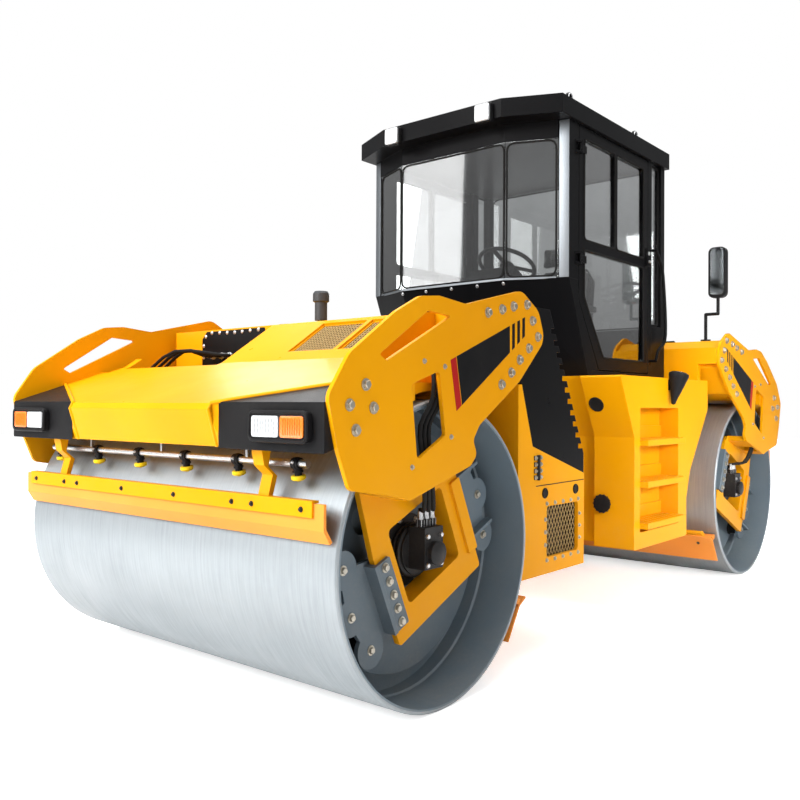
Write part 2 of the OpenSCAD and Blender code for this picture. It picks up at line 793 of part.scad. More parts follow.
module cab_front_panel() {
  w = cab_wall;
  color(black_paint) difference() {
    front_tub(0);
    translate([0, 0, -1]) front_tub(w);
    translate([0, 0, 1]) front_tub(w);
    along_x(-cab_half - 1, cab_half + 1) polygon([
      [door_front - door_gap, sill_z + 5], [door_front - door_gap, knee_z], [heel_y - door_gap, floor_z + sill_t],
      [toe_y, floor_z + sill_t], [toe_y, floor_z - 5], [toe_y + 400, floor_z - 5], [toe_y + 400, sill_z + 5]
    ]);
  }
}

module cab_rear_panel() {
  z = floor_z + sill_t;
  y = post_b_y + post_w;
  color(black_paint) {
    translate([-cab_half, cab_rear_y - cab_wall, z]) cube([2 * cab_half, cab_wall, rear_wall_h]);
    mirrored_x() translate([cab_half - cab_wall, y, z]) cube([cab_wall, cab_rear_y - y, rear_wall_h]);
  }
}

// Door hinges: two lugs and a pin on the front post, a bored knuckle on the door between them
hinge_x = cab_half + 15;
hinge_y = door_front - 3;
hinge_heights = [sill_z + 125, eaves_z - 140];
hinge_pin_r = 6;
knuckle_r = 11;
knuckle_h = 44;
lug_h = 14;
knuckle_gap = 2;

module door_hinge_lugs(z) {
  reach = knuckle_h / 2 + knuckle_gap;
  for (low = [z - reach - lug_h, z + reach]) translate([0, 0, low]) {
    translate([hinge_x, hinge_y, 0]) cylinder(r = knuckle_r, h = lug_h);
    linear_extrude(lug_h) polygon([
      [cab_half - 1, hinge_y - 55], [cab_half - 1, hinge_y - 12], [hinge_x - 2, hinge_y],
      [hinge_x + knuckle_r - 1, hinge_y - 2]
    ]);
  }
  translate([hinge_x, hinge_y, z - reach - lug_h]) cylinder(r = hinge_pin_r, h = 2 * (reach + lug_h));
}

module door_knuckle(z) {
  translate([0, 0, z - knuckle_h / 2]) difference() {
    union() {
      translate([hinge_x, hinge_y, 0]) cylinder(r = knuckle_r, h = knuckle_h);
      translate([cab_half - 1, door_front, 0]) cube([hinge_x - cab_half + 1, 20, knuckle_h]);
      translate([cab_half - 1, door_front, 0]) cube([9, 80, knuckle_h]);
    }
    translate([hinge_x, hinge_y, -1]) cylinder(r = hinge_pin_r + fit, h = knuckle_h + 2);
  }
}

module cab_posts() {
  p = post_w;
  low = floor_z + sill_t;
  color(black_paint) mirrored_x() {
    translate([0, 0, sill_z]) linear_extrude(eaves_z - sill_z) polygon([
      [cab_half - p, corner_y + front_post_depth], [cab_half, corner_y + front_post_depth],
      [cab_half, corner_y], [cab_half - p, corner_y - 18]
    ]);
    for (z = hinge_heights) door_hinge_lugs(z);
    translate([cab_half - p, post_b_y, low]) cube([p, p, eaves_z - low]);
    translate([cab_half - p, cab_rear_y - p, low + rear_wall_h]) cube([p, p, eaves_z - low - rear_wall_h]);
  }
}

// Roof with a stepped crown and four lifting eyes
lifting_eyes_y = [corner_y + 50, corner_y + 940];
lifting_eye_x = cab_half - 40;
eye_t = 14;
eye_r = 30;
eye_bore_r = 15;
eye_z = 26;
header_h = 105;
header_t = 40;
crown_inset = 38;
crown_h = 8;

module cab_roof() {
  color(black_paint) {
    translate([0, 0, eaves_z]) linear_extrude(roof_t - crown_h)
      plan(screen_y - visor, corner_y - visor, cab_half + roof_side, cab_rear_y + roof_tail, roof_front_half);
    translate([0, 0, eaves_z + roof_t - crown_h - 1]) linear_extrude(crown_h + 1) plan(
      screen_y - visor + crown_inset, corner_y - visor + crown_inset, cab_half + roof_side - crown_inset,
      cab_rear_y + roof_tail - crown_inset, roof_front_half
    );
    translate([0, 0, eaves_z - header_h]) linear_extrude(header_h + 1) intersection() {
      difference() {
        plan(screen_y - 4, corner_y - 4, cab_half, corner_y + 300, screen_half);
        plan(screen_y + header_t, corner_y + header_t, cab_half, corner_y + 301, screen_half);
      }
      translate([-cab_half + post_w + fit, screen_y - 50]) square([2 * (cab_half - post_w - fit), screen_bow + 90]);
    }
    mirrored_x() for (y = lifting_eyes_y) translate([lifting_eye_x, y, eaves_z + roof_t - 1]) difference() {
      union() {
        translate([0, -eye_r, 0]) cube([eye_t, 2 * eye_r, eye_z + 1]);
        translate([0, 0, eye_z + 1]) rotate([0, 90, 0]) cylinder(r = eye_r, h = eye_t);
      }
      translate([-1, 0, eye_z + 1]) rotate([0, 90, 0]) cylinder(r = eye_bore_r, h = eye_t + 2);
    }
  }
}

// Fixed windows: a windscreen in three flat panes, the rear quarters and the rear window
module cab_glass() {
  h = eaves_z - header_h - fit - sill_z;
  low = floor_z + sill_t + rear_wall_h;
  run = [cab_half - post_w - screen_half, screen_bow - 18];
  color(window_glass) {
    translate([-screen_half, screen_y, sill_z]) cube([2 * screen_half, glass_t, h]);
    mirrored_x() translate([screen_half + 3, screen_y + 2, sill_z]) rotate(atan2(run.y, run.x))
      cube([norm(run) - 8, glass_t, h]);
    mirrored_x() translate([cab_half - 30, post_b_y + post_w, low])
      cube([glass_t, cab_rear_y - 2 * post_w - post_b_y, eaves_z - low]);
    translate([-cab_half + post_w, cab_rear_y - 30, low]) cube([2 * (cab_half - post_w), glass_t, eaves_z - low]);
  }
}

// Bent grab rail on two stand-offs beside the rear door post
rail_r = 11;
rail_gap = 45;
rail_z = [floor_z + 130, floor_z + 875];
rail_bends = [[45, 75], [160, 186], [115, -155], [45, -50]];

module grab_rails() {
  y = post_b_y + post_w / 2;
  x = cab_half + rail_gap;
  color(black_paint) mirrored_x() {
    for (z = rail_z) bar_x(cab_half + fit, x + rail_r - 1, [y, z], rail_r - 2);
    hose([
      [x, y, rail_z[0]], [x, y + rail_bends[0].x, rail_z[0] + rail_bends[0].y],
      [x, y + rail_bends[1].x, rail_z[0] + rail_bends[1].y], [x, y + rail_bends[2].x, rail_z[1] + rail_bends[2].y],
      [x, y + rail_bends[3].x, rail_z[1] + rail_bends[3].y], [x, y, rail_z[1]]
    ], rail_r, 12, 5, [1, 0, 0]);
  }
}

// Door: a framed panel with its front lower corner cut off, hinged at the front
door_rear = post_b_y - door_gap;
door_low = floor_z + sill_t + door_gap;
door_high = eaves_z - door_gap;
door_border = 65;
belt_z = sill_z + 215;
belt_h = 60;
light_r = 25;
pane_split = 22;
door_outline = [
  [door_front, door_high], [door_rear, door_high], [door_rear, door_low], [heel_y, door_low], [door_front, knee_z]
];
light_x = [door_front + door_border, door_rear - door_border];
light_mid = (light_x[0] + light_x[1]) / 2;
upper_lights = [for (x = [[light_x[0], light_mid - pane_split / 2], [light_mid + pane_split / 2, light_x[1]]]) [
  [x[0], door_high - door_border], [x[1], door_high - door_border],
  [x[1], belt_z + belt_h / 2], [x[0], belt_z + belt_h / 2]
]];
lower_light = [
  [light_x[0], belt_z - belt_h / 2], [light_x[1], belt_z - belt_h / 2],
  [light_x[1], door_low + 75], [heel_y + 55, door_low + 75], [light_x[0], knee_z + 20]
];

module door_lights() {
  for (light = concat(upper_lights, [lower_light])) polygon(rounded(light, light_r));
}

module door() {
  color(black_paint) {
    along_x(cab_half - cab_wall, cab_half) difference() {
      polygon(rounded(door_outline, 12));
      door_lights();
    }
    for (z = hinge_heights) door_knuckle(z);
    translate([cab_half - 1, door_rear - 52, belt_z - 18]) cube([26, 38, 120]);
  }
}

module door_glass() {
  mid = cab_half - cab_wall / 2;
  color(window_glass) along_x(mid - glass_t / 2, mid + glass_t / 2) door_lights();
}

// Driver's seat on its pedestal, with arm rests
seat_half = 250;
seat_set = 560;
seat_y = cab_rear_y - seat_set;
seat_len = 440;
pedestal = [300, 280, 300];
pedestal_y = 90;
pad_h = 130;
back_y = 330;
back_t = 100;
back_h = 560;
back_lean = -7;
arm_rest = [61, 300, 60];
arm_y = 110;
arm_z = 440;
arm_post = [40, 60, 100];

module seat() {
  color(rubber) translate([0, seat_y, floor_z + sill_t]) {
    translate([-pedestal.x / 2, pedestal_y, 0]) cube(pedestal);
    translate([-seat_half, 0, pedestal.z - 1]) cube([2 * seat_half, seat_len, pad_h]);
    translate([-seat_half, back_y, pedestal.z + pad_h - 2]) rotate([back_lean, 0, 0]) cube([2 * seat_half, back_t, back_h]);
    mirrored_x() translate([seat_half - 1, arm_y, arm_z]) {
      cube(arm_rest);
      translate([0, arm_rest.y - 2 * arm_post.y, 10 - arm_post.z]) cube(arm_post);
    }
  }
}

// Console with the steering column and wheel
console_half = 170;
console_y = corner_y + 345;
console_h = 600;
column_tilt = -28;
wheel_r = 190;
wheel_tube = 14;

module console() {
  z = floor_z + sill_t;
  color(rubber) {
    along_x(-console_half, console_half) polygon([
      [console_y, z], [console_y + 190, z], [console_y + 150, z + console_h], [console_y - 20, z + console_h + 90],
      [console_y - 70, z + console_h]
    ]);
    translate([0, console_y + 70, z + console_h - 20]) rotate([column_tilt, 0, 0]) {
      cylinder(r = 26, h = 170);
      translate([0, 0, 170]) {
        rotate_extrude() translate([wheel_r, 0]) circle(r = wheel_tube);
        for (a = [30, 150, 270]) rotate(a) translate([0, -15, -6]) cube([wheel_r, 30, 10]);
        translate([0, 0, -12]) cylinder(r = 45, h = 24);
      }
    }
  }
}

// Work lamps under the front of the roof
work_lamp_x = 343;
work_lamp = 110;
work_lamp_depth = 48;
work_lamp_drop = 18;

module work_lamps() {
  y = screen_y - visor - fit - work_lamp_depth;
  color(lens) for (s = [-1, 1]) translate([s * work_lamp_x - work_lamp / 2, y, eaves_z - work_lamp_drop])
    cube([work_lamp, work_lamp_depth, work_lamp]);
}

// Mirrors on cranked stalks at the front corners of the rear hood
mirror_x = 960;
mirror_y = 515;
mirror_w = 120;
mirror_h = 350;
mirror_t = 46;
stalk_r = 11;
stalk_h = 190;
stalk_out = 85;
stalk_top = 330;
foot_r = 34;

module mirrors() {
  foot = line_at(slope_head, roofline, mirror_y + foot_r) + fit;
  color(black_paint) at_rear() mirrored_x() translate([mirror_x, mirror_y, foot]) {
    cylinder(r = foot_r, h = 14);
    cylinder(r = stalk_r, h = stalk_h);
    translate([0, 0, stalk_h]) sphere(r = stalk_r);
    bar_x(0, stalk_out, [0, stalk_h], stalk_r);
    translate([stalk_out, 0, stalk_h]) {
      sphere(r = stalk_r);
      cylinder(r = stalk_r, h = stalk_top - stalk_h);
    }
    translate([stalk_out - mirror_w / 2, -mirror_t / 2, stalk_top - 30])
      along_box([0, 0, 0], [mirror_w, mirror_t, mirror_h], 36);
  }
}

at_front() drum();  // front_drum
at_front() side_plates();  // front_side_plates
at_front() forks(1);  // front_forks
at_front() drum_brackets(0);  // front_drum_brackets
at_front() buffers();  // front_buffers
at_front() motors();  // front_motors
at_front() hoses(true);  // front_hoses
at_front() hood(true);  // front_hood
at_front() lamp_pods();  // front_lamp_pods
at_front() lamps();  // front_lamps
at_front() scrapers();  // front_scrapers
at_front() scraper_bars();  // front_scraper_bars
at_front() spray_bar();  // front_spray_bar
front_chassis();
engine_cover();
engine_side_panels();
engine_doors();
front_grilles();
engine_block();
exhaust_cap();
at_rear() drum();  // rear_drum
at_rear() side_plates();  // rear_side_plates
at_rear() forks(-1);  // rear_forks
at_rear() drum_brackets(180);  // rear_drum_brackets
at_rear() buffers();  // rear_buffers
at_rear() motors();  // rear_motors
at_rear() hoses(false);  // rear_hoses
at_rear() hood(false);  // rear_hood
at_rear() lamp_pods();  // rear_lamp_pods
union() {  // rear_lamps
  at_rear() lamps();
  work_lamps();
}
at_rear() scrapers();  // rear_scrapers
at_rear() scraper_bars();  // rear_scraper_bars
at_rear() spray_bar();  // rear_spray_bar
rear_chassis();
steering_pin();
side_tanks();
steps();
cab_floor();
cab_front_panel();
cab_rear_panel();
cab_posts();
cab_roof();
cab_glass();
grab_rails();
door();  // left_door
door_glass();  // left_door_glass
mirror([1, 0, 0]) door();  // right_door
mirror([1, 0, 0]) door_glass();  // right_door_glass
seat();
console();
mirrors();
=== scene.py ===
import json
import math

import bmesh
import bpy
from mathutils import Matrix, Vector


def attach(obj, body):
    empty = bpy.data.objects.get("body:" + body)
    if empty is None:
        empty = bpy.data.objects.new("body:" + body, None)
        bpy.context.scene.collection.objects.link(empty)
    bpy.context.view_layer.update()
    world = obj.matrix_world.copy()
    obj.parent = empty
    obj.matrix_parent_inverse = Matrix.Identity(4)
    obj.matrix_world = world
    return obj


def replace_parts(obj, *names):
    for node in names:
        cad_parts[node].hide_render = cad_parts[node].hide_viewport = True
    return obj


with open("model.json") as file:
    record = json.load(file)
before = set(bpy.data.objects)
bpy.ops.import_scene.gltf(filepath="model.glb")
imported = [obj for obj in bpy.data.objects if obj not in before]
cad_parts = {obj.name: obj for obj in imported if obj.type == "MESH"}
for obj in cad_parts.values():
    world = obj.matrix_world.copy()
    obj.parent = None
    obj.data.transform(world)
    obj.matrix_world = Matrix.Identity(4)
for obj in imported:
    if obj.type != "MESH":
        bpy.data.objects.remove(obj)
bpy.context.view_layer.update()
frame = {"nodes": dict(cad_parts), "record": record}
record = frame["record"]
cadNodes = frame["nodes"]
print("frame loaded,", len(cadNodes), "solids")

# places: an end unit has its drum axle at the origin and its outer end towards -y, in millimetres
ends = ("front", "rear")
sides = (1, -1)
axleY = {"front": -1.845, "rear": 1.845}
axleZ = 0.625
frameOf = {"front": "front_frame", "rear": "rear_frame"}
upward = Vector((0, 0, 1))
forward = Vector((0, -1, 0))


def atEnd(end, x, y, z):
    s = 1 if end == "front" else -1
    return Vector((s * x / 1000, axleY[end] + s * y / 1000, axleZ + z / 1000))


def turnEnd(end, v):
    s = 1 if end == "front" else -1
    return Vector((s * v[0], s * v[1], v[2]))


def onSide(end, side, face, points):
    # places on a face that looks out to one side, each with the way it looks
    out = turnEnd(end, (side, 0, 0))
    return [(atEnd(end, side * face, y, z), out) for y, z in points]


def upSlope(foot, head, s, n):
    # s along a slope from its foot and n off its face
    (y0, z0), (y1, z1) = foot, head
    a = math.atan2(z1 - z0, y1 - y0)
    return y0 + s * math.cos(a) - n * math.sin(a), z0 + s * math.sin(a) + n * math.cos(a)


def corners(a0, a1, b0, b1):
    return (a0, b0), (a1, b0), (a1, b1), (a0, b1)


def frameStrips(a0, a1, b0, b1, w):
    # the four bars of a flat frame
    c0, c1 = b0 + w, b1 - w
    return (a0, a1, b0, c0), (a0, a1, c1, b1), (a0, a0 + w, c0, c1), (a1 - w, a1, c0, c1)


def circle(count, start=0.0):
    turns = [2 * math.pi * (k + start) / count for k in range(count)]
    return [(math.cos(t), math.sin(t)) for t in turns]


def linked(name, data):
    thing = bpy.data.objects.new(name, data)
    bpy.context.scene.collection.objects.link(thing)
    return thing


# node helpers
def feed(tree, target, source):
    if hasattr(source, "is_output"):
        tree.links.new(source, target)
    else:
        target.default_value = source


def feedAll(tree, node, values):
    for k, v in values.items():
        feed(tree, node.inputs[k], v)


def addNode(tree, kind, values=None, **settings):
    n = tree.nodes.new(kind)
    for k, v in settings.items():
        setattr(n, k, v)
    feedAll(tree, n, values or {})
    return n


def mathNode(tree, operation, a, b=None, clamp=False):
    values = {0: a} if b is None else {0: a, 1: b}
    return addNode(tree, "ShaderNodeMath", values, operation=operation, use_clamp=clamp).outputs[0]


def times(tree, a, b, clamp=False):
    return mathNode(tree, "MULTIPLY", a, b, clamp)


def weighted(tree, a, aShare, b, bShare):
    return mathNode(tree, "ADD", times(tree, a, aShare), times(tree, b, bShare))


def rangeNode(tree, value, low, high, toLow=0.0, toHigh=1.0):
    values = {"Value": value, "From Min": low, "From Max": high, "To Min": toLow, "To Max": toHigh}
    return addNode(tree, "ShaderNodeMapRange", values, clamp=True).outputs["Result"]


def noiseNode(tree, vector, scale, detail=3.0, rough=0.5):
    values = {"Vector": vector, "Scale": scale, "Detail": detail, "Roughness": rough}
    return addNode(tree, "ShaderNodeTexNoise", values).outputs["Fac"]


def mixColor(tree, factor, a, b):
    a, b = ((*v, 1) if isinstance(v, tuple) else v for v in (a, b))
    return addNode(tree, "ShaderNodeMix", {0: factor, 6: a, 7: b}, data_type="RGBA").outputs[2]


def tinted(color, factor):
    return tuple(c * factor for c in color)


def objectPlace(tree):
    return addNode(tree, "ShaderNodeTexCoord").outputs["Object"]


def cameraRay(tree):
    return addNode(tree, "ShaderNodeLightPath").outputs["Is Camera Ray"]


def startMaterial(name):
    m = bpy.data.materials.new(name)
    m.use_nodes = True
    return m, m.node_tree, m.node_tree.nodes["Principled BSDF"]


def bumped(tree, height, normal, strength, distance):
    values = {"Strength": strength, "Distance": distance, "Height": height}
    if normal is not None:
        values["Normal"] = normal
    return addNode(tree, "ShaderNodeBump", values).outputs["Normal"]


# camera, at the photograph's place
cameraView = {"place": (3.116, -4.587, 1.223), "yaw": 39.83, "pitch": -0.37, "roll": 0.28, "lens": 38.17,
              "sensor": 36, "far": 200}


def makeCamera(view):
    a, e, r = (math.radians(view[k]) for k in ("yaw", "pitch", "roll"))
    back = Vector((math.sin(a) * math.cos(e), -math.cos(a) * math.cos(e), math.sin(e)))
    right = Vector((math.cos(a), math.sin(a), 0))
    up = back.cross(right)
    right, up = right * math.cos(r) + up * math.sin(r), up * math.cos(r) - right * math.sin(r)
    data = bpy.data.cameras.new("camera")
    data.lens, data.clip_end, data.sensor_fit = view["lens"], view["far"], "AUTO"
    data.sensor_width = data.sensor_height = view["sensor"]
    camera = linked("camera", data)
    turn = Matrix((right, up, back)).transposed().to_4x4()
    camera.matrix_world = Matrix.Translation(view["place"]) @ turn
    bpy.context.scene.camera = camera


makeCamera(cameraView)

# studio: pale floor, soft sky and square lamps (name, place, aim, size, power, spread)
studio = {
    "floorSize": 60, "floorColor": (0.9, 0.9, 0.895), "floorGlow": 0.6, "floorRough": 0.75, "floorShine": 0.1,
    "backdrop": (1.0, 1.0, 1.0), "horizon": (0.2, 0.2, 0.2), "zenith": (0.85, 0.86, 0.88),
    "lamps": [
        ("keyLamp", (-1.2, -8.5, 5.2), (0, -1.2, 0.8), 5.5, 1000, 180),
        ("topLamp", (0, 0.0, 8.5), (0, 0, 0), 7.0, 680, 180),
        ("sideLamp", (8.0, -1.5, 4.2), (0.8, 0.8, 0.9), 4.0, 70, 180),
        ("tankLamp", (5.6, -2.2, 2.2), (1.0, 1.1, 0.8), 1.2, 27, 45),
        ("cardLamp", (-8.2, -8.5, 4.4), (0, -0.5, 2.3), 4.0, 150, 180),
        ("farLamp", (-6.5, 4.5, 5.0), (0, 0, 1.2), 4.0, 200, 180),
    ],
}


def makeStudio(setup):
    scene = bpy.context.scene
    scene.view_settings.view_transform = "Standard"
    scene.world = bpy.data.worlds.new("studioSky")
    scene.world.use_nodes = True
    tree = scene.world.node_tree
    # the sky lights the machine, and the camera sees the white backdrop
    way = addNode(tree, "ShaderNodeTexCoord").outputs["Generated"]
    height = addNode(tree, "ShaderNodeSeparateXYZ", {0: way}).outputs["Z"]
    sky = tree.nodes["Background"]
    feed(tree, sky.inputs["Color"], mixColor(tree, height, setup["horizon"], setup["zenith"]))
    white = addNode(tree, "ShaderNodeBackground", {"Color": (*setup["backdrop"], 1)})
    both = addNode(tree, "ShaderNodeMixShader", {0: cameraRay(tree), 1: sky.outputs[0], 2: white.outputs[0]})
    feed(tree, tree.nodes["World Output"].inputs["Surface"], both.outputs[0])
    for name, place, aim, size, power, spread in setup["lamps"]:
        data = bpy.data.lights.new(name, "AREA")
        data.shape, data.size, data.energy, data.spread = "SQUARE", size, power, math.radians(spread)
        lamp = linked(name, data)
        lamp.location = place
        lamp.rotation_euler = (Vector(aim) - Vector(place)).to_track_quat("-Z", "Y").to_euler()
    half = setup["floorSize"] / 2
    mesh = bpy.data.meshes.new("floor")
    mesh.from_pydata([(x, y, 0) for x, y in corners(-half, half, -half, half)], [], [(0, 1, 2, 3)])
    floor = linked("floor", mesh)
    paper, tree, shader = startMaterial("floorPaper")
    # the floor's glow is for the camera only, so it throws no light upwards
    feedAll(tree, shader, {
        "Base Color": (*setup["floorColor"], 1), "Roughness": setup["floorRough"],
        "Specular IOR Level": setup["floorShine"], "Emission Color": (1, 1, 1, 1),
        "Emission Strength": times(tree, cameraRay(tree), setup["floorGlow"])})
    mesh.materials.append(paper)


makeStudio(studio)
print("camera and studio ready")


# shader effects shared by several finishes
def newGroup(name, inputs, outputs):
    group = bpy.data.node_groups.new(name, "ShaderNodeTree")
    for label, value in inputs.items():
        group.interface.new_socket(label, in_out="INPUT", socket_type="NodeSocketFloat").default_value = value
    for label in outputs:
        kind = "NodeSocketVector" if label == "Normal" else "NodeSocketFloat"
        group.interface.new_socket(label, in_out="OUTPUT", socket_type=kind)
    return group, addNode(group, "NodeGroupInput").outputs, addNode(group, "NodeGroupOutput").inputs


def makeEdgeGroup():
    # rounded edges for the light, and a broken mask of worn paint along them
    g, inn, out = newGroup("wornEdges", {"Radius": 0.004, "Wear": 0.3, "Grain": 45.0}, ("Mask", "Normal"))
    soft = addNode(g, "ShaderNodeBevel", {"Radius": inn["Radius"]}, samples=4).outputs["Normal"]
    flat = addNode(g, "ShaderNodeNewGeometry").outputs["Normal"]
    bend = addNode(g, "ShaderNodeVectorMath", {0: soft, 1: flat}, operation="DOT_PRODUCT").outputs["Value"]
    edge = rangeNode(g, bend, 0.985, 0.86)
    where = objectPlace(g)
    broken = rangeNode(g, noiseNode(g, where, inn["Grain"], 6.0, 0.62), 0.5, 0.66)
    patchy = rangeNode(g, noiseNode(g, where, 3.0, 2.0), 0.42, 0.62)
    feed(g, out["Mask"], times(g, times(g, times(g, edge, broken), patchy), inn["Wear"], True))
    feed(g, out["Normal"], soft)
    return g


def makeDustGroup():
    # dust that gathers low down and in streaks, with a finer speckle
    g, inn, out = newGroup("roadDust", {"Top": 0.9, "Amount": 0.3, "Scale": 3.5}, ("Mask",))
    where = objectPlace(g)
    height = addNode(g, "ShaderNodeSeparateXYZ", {0: where}).outputs["Z"]
    low = rangeNode(g, height, inn["Top"], 0.05, 0.12, 1.0)
    cloud = rangeNode(g, noiseNode(g, where, inn["Scale"], 5.0, 0.6), 0.38, 0.72)
    speck = rangeNode(g, noiseNode(g, where, 60.0, 3.0, 0.6), 0.45, 0.7, 0.6, 1.0)
    feed(g, out["Mask"], times(g, times(g, times(g, cloud, speck), low), inn["Amount"], True))
    return g


def makePeelGroup():
    # the fine ripple of sprayed paint and the faint clouding of its gloss
    g, inn, out = newGroup("sprayRipple", {"Scale": 260.0, "Gloss": 0.3, "Spread": 0.12},
                           ("Height", "Roughness", "Tone"))
    where = objectPlace(g)
    feed(g, out["Height"], noiseNode(g, where, inn["Scale"], 1.5))
    cloud = mathNode(g, "SUBTRACT", noiseNode(g, where, 7.0, 4.0, 0.55), 0.5)
    rough = mathNode(g, "ADD", inn["Gloss"], times(g, cloud, inn["Spread"]))
    feed(g, out["Roughness"], mathNode(g, "MAXIMUM", rough, 0.03))
    feed(g, out["Tone"], noiseNode(g, where, 1.3, 2.0))
    return g


edgeGroup, dustGroup, peelGroup = makeEdgeGroup(), makeDustGroup(), makePeelGroup()


def useGroup(tree, group, **values):
    return addNode(tree, "ShaderNodeGroup", values, node_tree=group).outputs


# finishes
dustColor = (0.42, 0.36, 0.28)
paintLooks = {
    "yellowPaint": dict(color=(0.76, 0.325, 0.0015), shade=(0.7, 0.285, 0.0015), worn=(0.55, 0.5, 0.42),
                        gloss=0.3, wear=0.25, dust=0.1, top=1.2, coat=0.03, specular=0.05, radius=0.004),
    "blackPaint": dict(color=(0.006, 0.006, 0.0065), shade=(0.004, 0.004, 0.0045), worn=(0.2, 0.2, 0.2),
                       gloss=0.3, wear=0.12, dust=0.0, top=2.2, coat=0.02, specular=0.06, radius=0.004),
    "greyPaint": dict(color=(0.12, 0.158, 0.188), shade=(0.095, 0.126, 0.15), worn=(0.42, 0.43, 0.44),
                      gloss=0.42, wear=0.45, dust=0.2, top=1.2, coat=0.0, specular=0.25, radius=0.003),
    "stackGrey": dict(color=(0.045, 0.048, 0.052), shade=(0.03, 0.032, 0.035), worn=(0.4, 0.4, 0.4),
                      gloss=0.4, wear=0.4, dust=0.1, top=2.2, coat=0.0, specular=0.2, radius=0.003),
    "motorBlack": dict(color=(0.016, 0.016, 0.018), shade=(0.01, 0.01, 0.011), worn=(0.3, 0.29, 0.27),
                       gloss=0.4, wear=0.5, dust=0.16, top=1.2, coat=0.0, specular=0.2, radius=0.003),
}


def makePaint(name, look):
    m, t, s = startMaterial(name)
    edges = useGroup(t, edgeGroup, Radius=look["radius"], Wear=look["wear"])
    dust = useGroup(t, dustGroup, Top=look["top"], Amount=look["dust"])["Mask"]
    peel = useGroup(t, peelGroup, Gloss=look["gloss"])
    base = mixColor(t, rangeNode(t, peel["Tone"], 0.35, 0.65), look["color"], look["shade"])
    worn = mixColor(t, edges["Mask"], base, look["worn"])
    feedAll(t, s, {
        "Base Color": mixColor(t, dust, worn, dustColor),
        "Roughness": mathNode(t, "ADD", peel["Roughness"], times(t, dust, 0.4), True),
        "Normal": bumped(t, peel["Height"], edges["Normal"], 0.08, 0.0006),
        "Coat Weight": look["coat"], "Coat Roughness": 0.08, "Specular IOR Level": look["specular"]})
    return m


plasticLooks = {
    "blackPlastic": dict(color=(0.009, 0.009, 0.01), rough=0.42, grain=900.0, bump=0.25),
    "rubber": dict(color=(0.012, 0.012, 0.012), rough=0.68, grain=420.0, bump=0.3),
    "scraperPlastic": dict(color=(0.86, 0.30, 0.045), rough=0.46, grain=240.0, bump=0.18),
    "nozzleCap": dict(color=(0.88, 0.62, 0.015), rough=0.38, grain=700.0, bump=0.15),
    "redVinyl": dict(color=(0.42, 0.012, 0.01), rough=0.36, grain=1500.0, bump=0.05),
    "blackVinyl": dict(color=(0.007, 0.007, 0.008), rough=0.33, grain=1500.0, bump=0.05),
    # a near-black brown for sheets set behind grilles, mesh windows and louvre slots: painted shade of the
    # hollows behind them
    "darkMesh": dict(color=(0.035, 0.022, 0.012), rough=0.6, grain=500.0, bump=0.2),
    "meshWire": dict(color=(0.5, 0.34, 0.14), rough=0.5, grain=600.0, bump=0.2),
    "dialFace": dict(color=(0.75, 0.75, 0.72), rough=0.4, grain=1500.0, bump=0.02),
}


def makePlastic(name, look):
    m, t, s = startMaterial(name)
    edges = useGroup(t, edgeGroup, Radius=0.0025, Wear=0.1)
    dust = useGroup(t, dustGroup, Top=1.1, Amount=0.14)["Mask"]
    peel = useGroup(t, peelGroup, Scale=look["grain"], Gloss=look["rough"], Spread=0.2)
    base = mixColor(t, rangeNode(t, peel["Tone"], 0.35, 0.65), look["color"], tinted(look["color"], 0.82))
    feedAll(t, s, {
        "Base Color": mixColor(t, dust, base, dustColor), "Roughness": peel["Roughness"],
        "Normal": bumped(t, peel["Height"], edges["Normal"], look["bump"], 0.0008), "Specular IOR Level": 0.1})
    return m


steelLooks = {
    "zincSteel": dict(color=(0.52, 0.49, 0.42), rough=0.36, streak=(300.0, 300.0, 300.0)),
    "brightSteel": dict(color=(0.7, 0.71, 0.72), rough=0.3, streak=(60.0, 400.0, 400.0)),
    "satinAlloy": dict(color=(0.26, 0.28, 0.3), rough=0.45, streak=(60.0, 400.0, 400.0)),
    # the mirror's silvering is a dark colour rather than bright silver: a painted dark reflection
    "mirrorSilver": dict(color=(0.1, 0.105, 0.11), rough=0.1, streak=(3.0, 3.0, 3.0)),
}


def makeSteel(name, look):
    # drawn steel: fine lines along the piece, seen as streaks in its gloss
    m, t, s = startMaterial(name)
    drawn = addNode(t, "ShaderNodeMapping", {"Vector": objectPlace(t), "Scale": look["streak"]})
    lines = noiseNode(t, drawn.outputs["Vector"], 1.0, 4.0, 0.6)
    edges = useGroup(t, edgeGroup, Radius=0.0015, Wear=0.0)
    dust = useGroup(t, dustGroup, Top=1.2, Amount=0.18)["Mask"]
    steel = mixColor(t, lines, look["color"], tinted(look["color"], 0.8))
    feedAll(t, s, {
        "Base Color": mixColor(t, dust, steel, dustColor),
        "Roughness": rangeNode(t, lines, 0.3, 0.7, look["rough"] - 0.08, look["rough"] + 0.12),
        "Normal": bumped(t, lines, edges["Normal"], 0.12, 0.0005), "Metallic": 1.0})
    return m


drumLook = {"steel": (0.375, 0.41, 0.43), "dull": (0.295, 0.325, 0.345), "paint": (0.135, 0.178, 0.212),
            "rimStart": 0.611, "metal": 0.6, "ringPitch": 90.0, "ringRound": 2.2}
drumCentres = {end + "DrumSkin": (0, axleY[end], axleZ) for end in ends}


